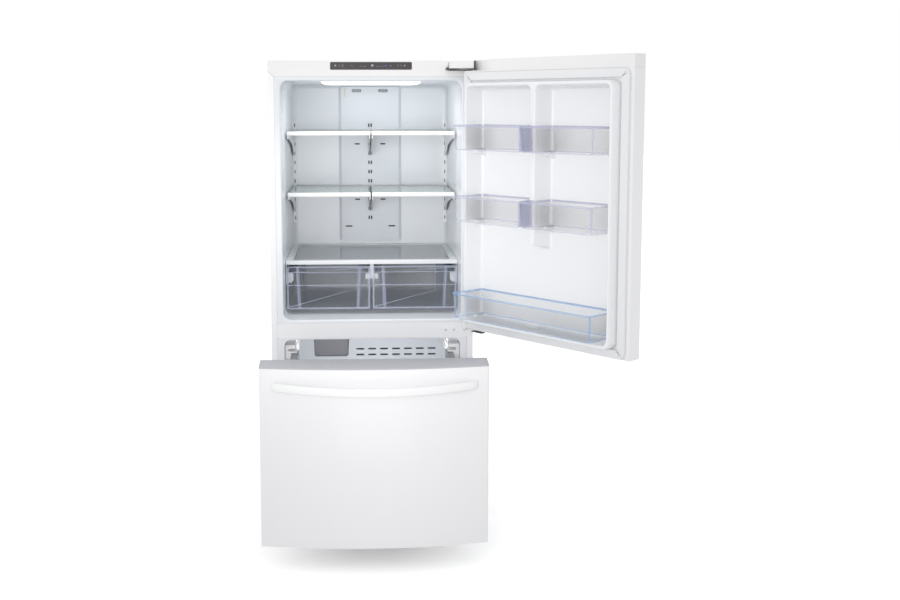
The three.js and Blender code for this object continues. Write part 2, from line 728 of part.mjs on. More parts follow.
// Dark recess where the duct from above comes down, wider at its top.
const inlet = { x0: -250, x1: -89, top: freezerCeiling - 22, low: freezerCeiling - 193, lean: 9 };
const recessOutline = (g) => [
  [inlet.x0 - g, inlet.top], [inlet.x1 + g, inlet.top],
  [inlet.x1 - inlet.lean + g, inlet.low + 13],
  [inlet.x1 - inlet.lean - 3 + g, inlet.low + 5 - g * 0.6],
  [inlet.x1 - inlet.lean - 10 + g / 2, inlet.low - g],
  [inlet.x0 + inlet.lean + 10 - g / 2, inlet.low - g],
  [inlet.x0 + inlet.lean + 3 - g, inlet.low + 5 - g * 0.6],
  [inlet.x0 + inlet.lean - g, inlet.low + 13],
];
const evapSlots = Array.from({ length: evap.slot.columns * evap.slot.rows }, (_, i) => {
  const s = evap.slot;
  const x = s.x + (i % s.columns) * s.px;
  const z = s.z - Math.floor(i / s.columns) * s.pz;
  return block(x - s.w / 2, x + s.w / 2, evap.front - 1, evap.front + evap.wall + 1,
    z - s.h / 2, z + s.h / 2);
});
const evapCover = cut(
  join(
    evapSection(evap.front, evap.front + evap.wall),
    // return flange that stands the cover on the step and under the ceiling
    cut(
      evapSection(evap.front, evap.front + 10),
      prism("y", roundRect(-freezerHalf + 3, freezerHalf - 3, evap.z0 + 2.5, evap.z1 - 2.5, 20, 3),
        evap.front - 1, evap.front + 11),
    ),
    prism("y", recessOutline(2), evap.front, evap.front + 16),
    rod("y", evap.fanX, evap.fanZ, evap.front + 1, evap.front + 14, 24, 14),
    rod("y", evap.fanX, evap.fanZ, evap.front + 12, evap.front + 36, 3, 8),
  ),
  prism("y", recessOutline(0), evap.front - 1, evap.front + 14),
  evapSlots,
);
part("evaporator_cover", evapCover, freezerPlastic);

// Finned evaporator behind the cover, standing on the step.
const coil = {
  half: 262, y0: evap.front + 20, y1: freezerBack - 6, z0: stepTop + fit,
  z1: freezerCeiling - 126, fins: 11,
};
const coilCore = block(-coil.half, coil.half, coil.y0 + 6, coil.y1 - 6, coil.z0 + 12, coil.z1 - 12);
const coilFins = Array.from({ length: coil.fins }, (_, i) => {
  const x = -coil.half + 4 + ((2 * coil.half - 8) * i) / (coil.fins - 1);
  return block(x - 1.2, x + 1.2, coil.y0, coil.y1, coil.z0, coil.z1);
});
part("evaporator_coil", join(coilCore, coilFins), finStock);

// A fan rotor with swept blades about a shaft along an axis.
function fanRotor(name, axis, u, v, a, b, hub, tip, bore, blades, parent) {
  const pieces = [rod(axis, u, v, a, b, hub, 12)];
  const place = {
    y: (r, angle, along) => [u + r * Math.cos(angle), along, v + r * Math.sin(angle)],
    x: (r, angle, along) => [along, u + r * Math.cos(angle), v + r * Math.sin(angle)],
  }[axis];
  for (let k = 0; k < blades; k++) {
    const base = (2 * Math.PI * k) / blades;
    const loops = [hub - 2, (hub + tip) / 2, tip].map((r, j) => {
      const sweep = base + 0.18 * j;
      const chord = 0.52 - 0.06 * j;
      return [
        place(r, sweep - chord / 2, a + 1),
        place(r, sweep + chord / 2, b - 3),
        place(r, sweep + chord / 2, b - 1),
        place(r, sweep - chord / 2, a + 3),
      ];
    });
    pieces.push(outward(loft(loops)));
  }
  part(name, cut(join(...pieces), rod(axis, u, v, a - 1, b + 1, bore, 12)), darkPlastic, parent);
}
fanRotor("evaporator_fan", "y", evap.fanX, evap.fanZ, evap.front + 14 + fit + 1,
  evap.front + 32, 15, evap.fanRadius, 3 + pinPlay, 5, cabinet);

// Fixed slide channels on the freezer walls; the drawer's bars run in their grooves.
const slide = {
  z: freezerCeiling - 64.5, barHeight: 13, barIn: freezerHalf - 46, barOut: freezerHalf - 24,
  play: 1.4, channelIn: freezerHalf - 44, channelLow: freezerCeiling - 78,
  channelHigh: freezerCeiling - 51, y0: 20, y1: evap.front - 15,
  ledgeIn: freezerHalf - 39.5, ledgeLow: freezerCeiling - 38, ledgeHigh: freezerCeiling - 25,
};
function slideRail(s) {
  const wall = freezerHalf - fit;
  const flip = (pts) => pts.map(([x, z]) => [s * x, z]);
  return join(
    prism("y", flip([
      [wall, slide.channelLow - 6], [wall, slide.ledgeHigh + 0.5],
      [wall - 8, slide.ledgeHigh], [slide.ledgeIn + 2, slide.ledgeHigh],
      [slide.ledgeIn, slide.ledgeHigh - 3], [slide.ledgeIn, slide.ledgeLow],
      [wall - 12, slide.ledgeLow - 3], [wall - 12, slide.channelHigh + 2],
      [slide.channelIn + 3, slide.channelHigh], [slide.channelIn, slide.channelHigh - 3],
      [slide.channelIn, slide.z + slide.barHeight / 2 + slide.play],
      [slide.barOut + slide.play, slide.z + slide.barHeight / 2 + slide.play],
      [slide.barOut + slide.play, slide.z - slide.barHeight / 2 - fit],
      [slide.channelIn, slide.z - slide.barHeight / 2 - fit],
      [slide.channelIn, slide.channelLow], [wall - 8, slide.channelLow],
      [wall - 6, slide.channelLow - 6],
    ]), slide.y0, slide.y1),
  );
}
part("freezer_rail_left", slideRail(-1), whitePlastic);
part("freezer_rail_right", slideRail(1), whitePlastic);

// ------------------------------------------------------------------ hinges
const plateZ = caseTop + fit;
const plateThick = 5;
const coverTop = headTop - 3;
const armLeft = hingeNotchX - 9.4; // left end of the hinge's arm, as far as the header's face
const tabX = [half - 3, half + 2.5];
const pinLow = lipHigh; // both pins reach this deep into the door
const wedge = (g) => [
  [armLeft + 0.4 - g, plateZ + 1], [armLeft + 28.4 + 2 * g, plateZ + 1],
  [armLeft + 10.4 + g, plateZ + 10.5 + g], [armLeft + 3.4 - g, plateZ + 10.5 + g],
];
const topPlate = join(
  prism("z", [
    [hingeNotchX + 4, headBack - 2], [hingeNotchX + 4, 0], [armLeft, -1], [armLeft, -8],
    [hingeX - 63.8, hingeY + 4.5], [hingeX - 25.8, hingeY - 13.5], [tabX[0] - 1, hingeY - 13.5],
    [tabX[1], hingeY - 7.5], [tabX[1], hingeY + 20.5], [half - 5, -2], [half - 5, headBack - 2],
  ], plateZ, plateZ + plateThick),
  // wedge that stiffens the arm's left end
  prism("y", wedge(0), -8, -1),
  // upturned tab at the arm's right end
  block(...tabX, hingeY - 7.5, hingeY + 12.5, plateZ + 1, headTop - 1),
  rod("z", hingeX, hingeY, pinLow, plateZ + 1, pinRadius),
);
part("top_hinge", topPlate, darkSteel);
const hingeCoverPlan = (g) => [
  [hingeNotchX + 2 + g, headBack - 4 - g], [hingeNotchX + 2 + g, hingeY + 2.5 + g / 2],
  [hingeNotchX + 10 + g / 2, hingeY - 10.5 + g], [half - 8 - g / 2, hingeY - 10.5 + g],
  [half - 5 - g, hingeY - 7.5 + g / 2], [half - 5 - g, headBack - 4 - g],
];
part(
  "top_hinge_cover",
  cut(
    outward(loft([
      hingeCoverPlan(0).map(([x, y]) => [x, y, plateZ + plateThick + fit]),
      hingeCoverPlan(0).map(([x, y]) => [x, y, coverTop - 2]),
      hingeCoverPlan(2).map(([x, y]) => [x, y, coverTop]),
    ])),
    prism("z", hingeCoverPlan(2.2), plateZ + plateThick - 1, coverTop - 2.4),
    prism("y", wedge(0.6), -9, 0),
  ),
  whitePlastic,
);

// Centre hinge: a plate on the centre rail, an arm between door and drawer, a pin up into the door.
const armZ = [doorBottom - 10.5, doorBottom - 4.5];
const plate = { x0: half - 119, x1: half - 9, z: doorBottom - 15, radius: 11 };
const lowPinTop = doorBottom + 18;
const centreHinge = join(
  prism("y", [
    ...Array.from({ length: 9 }, (_, i) => {
      const a = Math.PI * (0.5 + i / 8);
      return [plate.x0 + plate.radius * Math.cos(a), plate.z + plate.radius * Math.sin(a)];
    }),
    [plate.x1, plate.z - plate.radius], [plate.x1, plate.z + plate.radius],
  ], -3.4, -fit),
  prism("z", [
    [hingeX - 19.8, -1], [hingeX - 19.8, hingeY - 5.5], [hingeX - 13.8, hingeY - 15.5],
    [hingeX + 10.2, hingeY - 15.5], [hingeX + 13.2, hingeY - 9.5], [hingeX + 13.2, -6],
    [plate.x1, -1],
  ], ...armZ),
  rod("z", hingeX, hingeY, armZ[0] + 1, lowPinTop, pinRadius),
);
part("centre_hinge", centreHinge, whiteSteel);

// ------------------------------------------------------------------ base and machine room
const base = { z0: 38, z1: 41.6, half: half - sheet - fit, front: 40, back: depth - 5 };
const foot = { x: half - 48, y: 66, radius: 21, stem: 6, top: 54 };
const roller = { x: half - 62, y: depth - 82, radius: 24, thick: 18, z: 24, axle: 5 };
const grille = { half: half - 12, y0: 28, y1: 31, z0: 14, z1: 56, slots: 12, rib: 16 };
const fan = { x0: 26, x1: 44, y: depth - 144, z: 150, radius: 62, hub: 15, shaft: 3.5 };
const tray = { x0: 84, x1: half - 48, y0: depth - 230, y1: depth - 50, high: 34, wall: 2.5 };
const compressor = { x: 188 - half, y: depth - 135, z0: base.z1 + fit, radius: 84, top: 214 };
const machineWallFront = riserTopY + 4;
const baseSide = (s) => {
  const x = [s * (base.half - 3), s * base.half].sort((a, b) => a - b);
  return prism("x", [
    [base.front, base.z0], [base.back, base.z0], [base.back, machineTop - sheet - fit],
    [machineWallFront, machineTop - sheet - fit], [machineWallFront, baseTop - sheet - fit],
    [base.front, baseTop - sheet - fit],
  ], ...x);
};
const clevis = (s) =>
  [-1, 1].map((side) => {
    const x = s * roller.x + side * (roller.thick / 2 + 1.5 + 2);
    return prism("x", [
      [roller.y - 16, base.z0 + 1], [roller.y - 9, roller.z - 9], [roller.y + 9, roller.z - 9],
      [roller.y + 16, base.z0 + 1],
    ], x - 2, x + 2);
  });
const grilleSlots = Array.from({ length: grille.slots }, (_, i) => {
  const pitch = (2 * grille.half - 44) / grille.slots;
  const x = -grille.half + 22 + pitch * (i + 0.5);
  return block(x - (pitch - grille.rib) / 2, x + (pitch - grille.rib) / 2, grille.y0 - 1,
    grille.y1 + 1, grille.z0 + 10, grille.z1 - 10);
});
const footStem = (s) => rod("z", s * foot.x, foot.y, 0, 100, foot.stem + pinPlay, 12);
const basePan = cut(
  join(
    block(-base.half, base.half, base.front, base.back, base.z0, base.z1),
    baseSide(-1),
    baseSide(1),
    // kick grille hung on two brackets in front of the pan
    block(-grille.half, grille.half, grille.y0, grille.y1, grille.z0, grille.z1),
    block(-grille.half, grille.half, grille.y1 - 1, base.front + 1, base.z0, base.z1),
    [-1, 1].flatMap((s) => [
      rod("z", s * foot.x, foot.y, base.z0 - 14, base.z0 + 1, 13, 12),
      ...clevis(s),
      rod("x", roller.y, roller.z, s * roller.x - 15, s * roller.x + 15, roller.axle, 8),
    ]),
    // drain tray over the warm machinery, fan post and motor
    cut(
      block(tray.x0, tray.x1, tray.y0, tray.y1, base.z1 - 1, base.z1 + tray.high),
      block(tray.x0 + tray.wall, tray.x1 - tray.wall, tray.y0 + tray.wall, tray.y1 - tray.wall,
        base.z1 + 1, base.z1 + tray.high + 1),
    ),
    block(fan.x1 + 10, fan.x1 + 14, fan.y - 14, fan.y + 14, base.z1 - 1, fan.z + 10),
    rod("x", fan.y, fan.z, fan.x1 + 4, fan.x1 + 34, 24, 12),
    rod("x", fan.y, fan.z, fan.x0 - 6, fan.x1 + 6, fan.shaft, 8),
  ),
  grilleSlots,
  footStem(-1),
  footStem(1),
  // wells that the rollers stand up into
  [-1, 1].map((s) =>
    block(s * roller.x - roller.thick / 2 - 1.5, s * roller.x + roller.thick / 2 + 1.5,
      roller.y - roller.radius - 3, roller.y + roller.radius + 3, base.z0 - 1, base.z1 + 10)),
);
part("base_pan", basePan, zincSteel);

fanRotor("machine_fan", "x", fan.y, fan.z, fan.x0, fan.x1, fan.hub, fan.radius,
  fan.shaft + pinPlay, 5, cabinet);

// Welded compressor pot on its mounting plate, with grommets, terminal box and pipe stubs.
const pot = (() => {
  const { x, y, z0, radius, top } = compressor;
  const seat = z0 + 26;
  return join(
    turned(x, y, [
      [0, seat - 6], [56, seat - 6], [radius - 12, seat + 8], [radius - 2, seat + 30],
      [radius - 2, seat + 72], [radius + 2, seat + 73], [radius + 2, seat + 78],
      [radius - 3, seat + 79], [radius - 5, seat + 120], [radius - 24, top - 10], [0, top],
    ], 16),
    block(x - 104, x + 104, y - 62, y + 62, seat - 10, seat - 4),
    [-1, 1].flatMap((sx) =>
      [-1, 1].map((sy) => rod("z", x + sx * 90, y + sy * 50, z0, seat - 6, 12, 10, 10))),
    block(x + radius - 14, x + radius + 26, y - 32, y + 32, seat + 20, seat + 70),
    rod("z", x - 40, y + 20, top - 30, top + 26, 5, 8),
    rod("z", x - 52, y - 18, top - 34, top + 14, 4, 8),
  );
})();
part("compressor", pot, blackPaint);

// Rear cover of the machine room with louvres and the ring that a supply lead passes through.
const rear = { half: base.half, z0: base.z0 + 1, z1: machineTop - sheet - 4, y0: base.back + fit };
const louvres = Array.from({ length: 18 }, (_, i) => {
  const column = i % 9;
  const row = Math.floor(i / 9);
  const x = -256 + column * 56;
  const z = 110 + row * 84;
  return block(x - 20, x + 20, rear.y0 - 5, rear.y0 + 5, z, z + 60);
});
const gland = { x: half - 78, z: 96, r: 9 };
part(
  "machine_cover",
  cut(
    join(
      block(-rear.half, rear.half, rear.y0, rear.y0 + 2, rear.z0, rear.z1),
      rod("y", gland.x, gland.z, rear.y0 - 4, rear.y0 + 4.4, gland.r + 6),
    ),
    louvres,
    rod("y", gland.x, gland.z, rear.y0 - 6, rear.y0 + 6, gland.r, 12),
  ),
  zincSteel,
);

// Levelling feet and rear rollers.
for (const [name, s] of [["left", -1], ["right", 1]]) {
  part(
    "levelling_foot_" + name,
    turned(s * foot.x, foot.y, [
      [0, 0], [foot.radius - 2, 0], [foot.radius, 2], [foot.radius, 7], [foot.radius - 6, 10],
      [12, 11], [12, 17], [foot.stem, 18], [foot.stem, foot.top],
      [0, foot.top],
    ], 12),
    zincSteel,
  );
  const x = s * roller.x;
  part(
    "rear_roller_" + name,
    cut(
      join(
        rod("x", roller.y, roller.z, x - roller.thick / 2, x + roller.thick / 2,
          roller.radius - 3),
        rod("x", roller.y, roller.z, x - roller.thick / 2 + 3, x + roller.thick / 2 - 3,
          roller.radius),
      ),
      rod("x", roller.y, roller.z, x - 30, x + 30, roller.axle + pinPlay, 12),
    ),
    darkPlastic,
  );
}

// ------------------------------------------------------------------ fresh-food door
const skinTop = headTop - capHeight;
const doorPlane = -gasketGap;
const doorBack = -gasketGap - fit; // rear edge of the skin's returns
const doorShell = cut(
  prism("z", frontPlan(doorBack - linerWall, doorEdge + gasketGap), doorBottom, skinTop - fit),
  prism("z", frontPlan(doorBack - linerWall + 1, doorEdge + gasketGap, sheet),
    doorBottom + sheet, skinTop + 1),
  rod("z", hingeX, hingeY, doorBottom - 1, doorBottom + 3, pinRadius + pinPlay),
);
part("door_skin", doorShell, whiteSteel, door);

// Liner: flange, raised rim, two pockets above that run together below.
const rimSolid = (g, front, backY) =>
  ringSolid(
    ring(dykeFree + g, dykeHinge - g, dykeLow + g, dykeHigh - g, 24 - g, backY),
    ring(dykeFree + g, dykeHinge - g, dykeLow + g, dykeHigh - g, 24 - g, doorPlane - g),
    ring(dykeFree + g + 1.5, dykeHinge - g - 1.5, dykeLow + g + 1.5, dykeHigh - g - 1.5, 24 - g,
      front - 4),
    ring(dykeFree + g + 4.5, dykeHinge - g - 4.5, dykeLow + g + 4.5, dykeHigh - g - 4.5, 22 - g,
      front),
  );
const crestY = doorPlane + dykeRise;
const pocketFloor = doorPlane - recessSink;
// A pocket that narrows to its floor, grown by g.
const pocket = (x0, x1, z0, z1, g, radius = 20) => {
  const deep = (crestY - pocketFloor) / recessDraft;
  const grow = g / deep;
  return ringSolid(
    ring(x0 + recessDraft - g, x1 - recessDraft + g, z0 + recessDraft - g,
      z1 - recessDraft + g, radius + g, pocketFloor - g, 3),
    ring(x0 - g + grow - 3 / deep, x1 + g - grow + 3 / deep, z0 - g + grow - 3 / deep,
      z1 + g - grow + 3 / deep, radius + g, crestY + 3, 3),
  );
};
const pockets = (g) =>
  join(
    pocket(ribHinge, recessHinge, recessLow, recessHigh, g),
    pocket(recessFree, ribFree, recessLow, recessHigh, g),
    pocket(recessFree, recessHinge, recessLow, ribFoot, g, 30),
  );
const linerEdge = half - 2.6;
const slab = (g, y) =>
  block(-linerEdge, linerEdge, -half, y, doorBottom + sheet + fit + g, skinTop - fit - g);
const visibleSide = cut(join(slab(0, doorPlane), rimSolid(0, crestY, -half)), pockets(0));
const hiddenSide = cut(
  join(
    block(-half, half, -half - 1, doorPlane - linerWall, doorBottom, skinTop),
    rimSolid(linerWall, crestY - linerWall, -half - 1),
  ),
  pockets(linerWall),
);
// Bins: [name, hinge-side end, free-side end, floor, rim height].
const binDepth = 118; // reach of a bin's front from the flange
const upperHigh = 89;
const middleHigh = 91;
const lowerHigh = 92;
const binHinge = recessHinge - 2; // hinge-side end of the bins
const binFree = recessFree + 14; // free-side end of the bins
const pairLeft = { x0: ribHinge - 10, x1: binHinge, narrow0: 20, narrow1: 8 };
const pairRight = { x0: binFree, x1: ribFree + 7, narrow0: 0, narrow1: 19 };
const bins = [
  { name: "door_bin_upper_left", z: upperBinZ, high: upperHigh, ...pairLeft },
  { name: "door_bin_upper_right", z: upperBinZ, high: upperHigh, ...pairRight },
  { name: "door_bin_middle_left", z: middleBinZ, high: middleHigh, ...pairLeft },
  { name: "door_bin_middle_right", z: middleBinZ, high: middleHigh, ...pairRight },
  { name: "door_bin_lower", z: lowerBinZ, high: lowerHigh, x0: binFree, x1: binHinge, narrow0: 0,
    narrow1: 8 },
];
const crestStep = crestY + 4; // a bin is narrower behind this plane, where the rims stand
const binBack = pocketFloor + 2;
// Lugs on the pocket walls that the bins sit on.
const lug = { y0: pocketFloor - 1, y1: pocketFloor + 40, high: 12, reach: 16 };
const lugs = (g) => bins.flatMap((b) => {
  const z1 = b.z - fit + g;
  const walls = [
    [b.x1 - b.narrow1 - lug.reach, b.x1 + 1],
    [b.x0 < -200 ? recessFree + 1 : ribHinge - 4, b.x0 + b.narrow0 + lug.reach],
  ];
  if (b.name.endsWith("right")) walls[0] = [b.x1 - b.narrow1 - lug.reach, ribFree + 4];
  return walls.map(([a, c]) =>
    prism("x", [
      [lug.y0 - g, z1 - lug.high - 12 - 2 * g], [lug.y1 - 14 + g, z1 - lug.high - 2 * g],
      [lug.y1 + g, z1 - lug.high + 3 - 2 * g], [lug.y1 + g, z1], [lug.y0 - g, z1],
    ], a - g, c + g));
});
const doorLinerShape = join(cut(visibleSide, hiddenSide), lugs(0));
part("door_liner", doorLinerShape, doorPlastic, door);

// Foam core, with the bush of the upper hinge let in.
const bushRadius = 11;
const bushLow = pinLow - 6;
const doorCore = cut(
  join(
    prism("z", frontPlan(doorPlane - linerWall - fit, doorEdge + gasketGap, sheet + fit),
      doorBottom + sheet + fit, skinTop - fit),
    rimSolid(linerWall + fit, crestY - linerWall - fit, doorPlane - linerWall - 8),
  ),
  pockets(linerWall + fit),
  lugs(fit),
  rod("z", hingeX, hingeY, bushLow - fit, headTop, bushRadius + fit),
  rod("z", hingeX, hingeY, doorBottom - 1, lowPinTop + 4, pinRadius + pinPlay),
);
part("door_foam", doorCore, foamCore, door);

// Magnetic gasket: a bellows frame between the liner's flange and the cabinet.
const gasketRing = (x, z0, z1, y0, y1) => prism("y", roundRect(-x, x, z0, z1, 6, 2), y0, y1);
const frameGasket = (x, z0, z1, w) =>
  cut(
    join(
      gasketRing(x, z0, z1, doorPlane + fit, doorPlane + 4),
      gasketRing(x - 4, z0 + 4, z1 - 4, doorPlane + 3, doorPlane + 6.5),
      gasketRing(x - 1, z0 + 1, z1 - 1, doorPlane + 6, -fit),
    ),
    gasketRing(x - w, z0 + w, z1 - w, doorPlane - 1, 1),
  );
const gasketHalf = half - 12.7;
part("door_gasket", frameGasket(gasketHalf, doorBottom + 2.5, skinTop - 1, 29), sealRubber, door);

// Top cap with the pocket that the hinge arm turns in.
const capZ0 = skinTop;
const notchFloor = caseTop - 4;
const notchFront = -62;
const notchPlan = (g) => [
  [half + 2, 0], [hingeNotchX - 30 - g, 0], [hingeNotchX - 29 - g, doorPlane],
  [hingeNotchX + 9 - g, notchFront - g],
  [half + 2, notchFront - g],
];
const capShell = cut(
  outward(loft([
    frontPlan(doorPlane, doorEdge + gasketGap).map(([x, y]) => [x, y, capZ0]),
    frontPlan(doorPlane, doorEdge + gasketGap).map(([x, y]) => [x, y, headTop - 2.5]),
    frontPlan(doorPlane - 2, doorEdge + gasketGap, 2).map(([x, y]) => [x, y, headTop]),
  ])),
  cut(
    prism("z", frontPlan(doorPlane - 3, doorEdge + gasketGap, 3), capZ0 - 1, headTop - 3),
    block(hingeNotchX - 34, half + 1, -half, 0, capZ0 - 2, headTop),
  ),
  prism("z", notchPlan(0), notchFloor, headTop + 1),
);
const topCap = cut(
  join(capShell, rod("z", hingeX, hingeY, bushLow, notchFloor, bushRadius)),
  rod("z", hingeX, hingeY, bushLow - 1, headTop, pinRadius + pinPlay),
);
part("door_top_cap", topCap, whitePlastic, door);

// A bow handle: an oval bar swept along a path that leaves the surface at a foot, turns along it
// and runs in one long arc to the other foot.
const toFoot = [0, 3, 6, 9, 13, 19, 30, 60, 110, 180, 260]; // sections, along from each end
function bowHandle({ foot0, foot1, reach, surface, tall, deep, horizontal }) {
  const middle = (foot0 + foot1) / 2;
  const legs = (foot1 - foot0) / 2 - deep / 2; // the feet lie inside the bar's ends
  const arc = [0, 0.3, 0.6, 0.85].map((f) => [legs * f, surface - 8 - reach * (1 - f * f)]);
  const foot = [[legs - 5, surface - 9.5], [legs, surface - 3], [legs, surface + 4]];
  const side = [...arc, ...foot];
  const points = [...side.slice(1).map(([s, y]) => [-s, y]).reverse(), ...side];
  const path = new THREE.CatmullRomCurve3(points.map(([s, y]) => new THREE.Vector3(s, y, 0)));
  const long = path.getLength();
  const stations = [...toFoot, long / 2, ...toFoot.map((d) => long - d).reverse()];
  const sides = 8;
  const loops = stations.map((d) => {
    const at = path.getPointAt(d / long);
    const along = path.getTangentAt(d / long);
    return Array.from({ length: sides }, (_, k) => {
      const a = (2 * Math.PI * (k + 0.5)) / sides;
      const u = (tall / 2) * Math.cos(a);
      const v = (deep / 2) * Math.sin(a);
      const s = middle + at.x + v * along.y;
      const y = at.y - v * along.x;
      return horizontal ? [s, y, u] : [u, y, s];
    });
  });
  return outward(loft(loops));
}
const handleBar = { tall: 30, deep: 18 }; // section of both handles
const doorHandleX = 78 - half;
const doorHandle = (() => {
  const face = bowFace(doorHandleX, doorEdge + gasketGap);
  return cut(
    bowHandle({ foot0: doorBottom + 62, foot1: headTop - 246, reach: 58, surface: face, ...handleBar })
      .translate([doorHandleX, 0, 0]),
    prism("z", frontPlan(0, doorEdge + gasketGap + fit), doorBottom, headTop),
  );
})();
part("door_handle", doorHandle, whitePlastic, door);

// Dark stop under the door beside the lower hinge.
const stopRight = hingeX - 8.8;
const stopLow = doorBottom - 15;
const stopBar = 3.8;
const stopY = [hingeY - 15.5, hingeY + 2.5];
part(
  "door_stop",
  join(
    block(stopRight - 54, stopRight - 22, ...stopY, stopLow, doorBottom - fit),
    prism("y", [
      [stopRight - 54, stopLow], [stopRight - 1.5, stopLow], [stopRight, stopLow + 1.5],
      [stopRight, stopLow + stopBar], [stopRight - 54, stopLow + stopBar],
    ], ...stopY),
  ),
  darkSteel,
  door,
);

function doorBin(b) {
  const plan = (g, t) => {
    const front = doorPlane + binDepth - t - g;
    const r = 12;
    const out = [[b.x1 - b.narrow1 - g - t, binBack + g]];
    if (b.narrow1)
      out.push([b.x1 - b.narrow1 - g - t, crestStep + g * 0.5], [b.x1 - g - t, crestStep + 3 + g]);
    for (let i = 0; i <= 3; i++) {
      const a = (Math.PI / 2) * (i / 3);
      out.push([b.x1 - g - t - r + r * Math.cos(a), front - r + r * Math.sin(a)]);
    }
    for (let i = 0; i <= 3; i++) {
      const a = (Math.PI / 2) * (1 + i / 3);
      out.push([b.x0 + g + t + r + r * Math.cos(a), front - r + r * Math.sin(a)]);
    }
    if (b.narrow0)
      out.push([b.x0 + g + t, crestStep + 3 + g], [b.x0 + b.narrow0 + g + t, crestStep + g * 0.5]);
    out.push([b.x0 + b.narrow0 + g + t, binBack + g]);
    return out;
  };
  const level = (g, t, z) => plan(g, t).map(([x, y]) => [x, y, z]);
  const top = b.z + b.high;
  const outer = outward(loft([level(0, 5, b.z), level(0, 0, top)]));
  const inner = outward(loft([level(2.2, 5, b.z + 2.6), level(2.2, 0, top + 0.01 + 1)]));
  const lipBand = outward(loft([level(-1.2, 0, top - 5), level(-1.2, 0, top)]));
  part(b.name, cut(join(outer, lipBand), inner), clearPlastic, door);
}
bins.forEach(doorBin);

// ------------------------------------------------------------------ freezer drawer
const drawerSkinTop = drawerTopBack - drawerCap;
const drawerPlan = (inset) =>
  frontPlan(doorBack - linerWall + (inset ? 1 : 0), drawerEdge + gasketGap, inset);
part(
  "drawer_skin",
  cut(
    prism("z", drawerPlan(0), drawerBottom, drawerSkinTop - fit),
    prism("z", drawerPlan(sheet), drawerBottom + sheet, drawerSkinTop + 1),
  ),
  whiteSteel,
  drawer,
);

// Cap whose top slopes down to the bowed front: sections across the width.
const capSteps = 14;
const capSections = Array.from({ length: capSteps + 1 }, (_, i) => {
  const edge = drawerEdge + gasketGap;
  const x = -half + (width * i) / capSteps;
  const nearEnd = Math.max(0, frontRadius - (half - Math.abs(x)));
  const pull = frontRadius - Math.sqrt(Math.max(frontRadius ** 2 - nearEnd ** 2, 0));
  const front = bowFace(x, edge) + pull * 0.6;
  return [
    [x, doorPlane, drawerSkinTop], [x, doorPlane, drawerTopBack - 1.5],
    [x, doorPlane - 1.5, drawerTopBack], [x, front + 3, drawerTopFront + 0.3],
    [x, front + 0.8, drawerTopFront - 0.5], [x, front, drawerTopFront - 1.6],
    [x, front, drawerSkinTop],
  ];
});
part("drawer_top_cap", outward(loft(capSections)), greyCap, drawer);

const padDrop = 54.3; // top of the drawer to the raised panel on its back
const dHalf = half - 60;
const dLow = drawerBottom + 50.5;
const dHigh = drawerTopBack - padDrop;
const dRise = 30;
const drawerPad = (g, y0) =>
  ringSolid(
    ring(-dHalf + g, dHalf - g, dLow + g, dHigh - g, 24 - g, y0),
    ring(-dHalf + g, dHalf - g, dLow + g, dHigh - g, 24 - g, doorPlane - g),
    ring(-dHalf + g + 4, dHalf - g - 4, dLow + g + 4, dHigh - g - 4, 22 - g,
      doorPlane + dRise - g),
  );
const padRecess = (g) =>
  ringSolid(
    ring(-dHalf + 34 - g, dHalf - 34 + g, dLow + 34 - g, dHigh - 34 + g, 18 + g,
      doorPlane + 8 - g),
    ring(-dHalf + 28 - g, dHalf - 28 + g, dLow + 28 - g, dHigh - 28 + g, 18 + g,
      doorPlane + dRise + 2),
  );
part(
  "drawer_liner",
  cut(
    join(
      block(-linerEdge, linerEdge, doorPlane - linerWall, doorPlane,
        drawerBottom + sheet + fit, drawerSkinTop - fit),
      cut(drawerPad(0, doorPlane - linerWall), padRecess(0)),
    ),
    cut(drawerPad(linerWall, -half), padRecess(linerWall)),
  ),
  doorPlastic,
  drawer,
);
part(
  "drawer_foam",
  join(
    prism("z", frontPlan(doorPlane - linerWall - fit, drawerEdge + gasketGap, sheet + fit),
      drawerBottom + sheet + fit, drawerSkinTop - fit),
    cut(drawerPad(linerWall + fit, doorPlane - linerWall - 8), padRecess(linerWall + fit)),
  ),
  foamCore,
  drawer,
);
part(
  "drawer_gasket",
  frameGasket(gasketHalf, drawerBottom + 10, plate.z - plate.radius - fit, 24),
  sealRubber,
  drawer,
);

const drawerHandle = cut(
  bowHandle({
    foot0: 38 - half, foot1: half - 36, reach: 94, horizontal: true, ...handleBar,
    surface: bowFace(half - 47, drawerEdge + gasketGap),
  }).translate([0, 0, drawerTopBack - 70]),
  prism("z", frontPlan(0, drawerEdge + gasketGap + fit), drawerBottom, drawerTopBack),
);
part("drawer_handle", drawerHandle, whitePlastic, drawer);

// Slide frame: a bar each side that runs in its channel, webs and ledges that carry the basket,
// and a cross tie behind it.
const frameY = [doorPlane + dRise + fit, slide.y1 - 8];
const web = { x0: slide.barIn - 3.4, x1: slide.barIn + 1, low: slide.z - 69.5, ledge: 12 };
const frameSide = (s) => {
  const span = (a, b) => [Math.min(s * a, s * b), Math.max(s * a, s * b)];
  return join(
    block(...span(slide.barIn, slide.barOut), ...frameY,
      slide.z - slide.barHeight / 2, slide.z + slide.barHeight / 2),
    block(...span(web.x0, web.x1), ...frameY, web.low, slide.z + slide.barHeight / 2),
    block(...span(web.x0 - web.ledge, web.x0 + 1), frameY[0], stepFront + 1, web.low, web.low + 4),
  );
};
part(
  "drawer_slide_frame",
  join(frameSide(-1), frameSide(1),
    block(-web.x0 - 1, web.x0 + 1, frameY[1] - 14, frameY[1] - 2, web.low + 12, web.low + 25),
    block(-web.x0 - 1, web.x0 + 1, frameY[0], frameY[0] + 2.5, web.low, web.low + 30)),
  zincSteel,
  drawer,
);

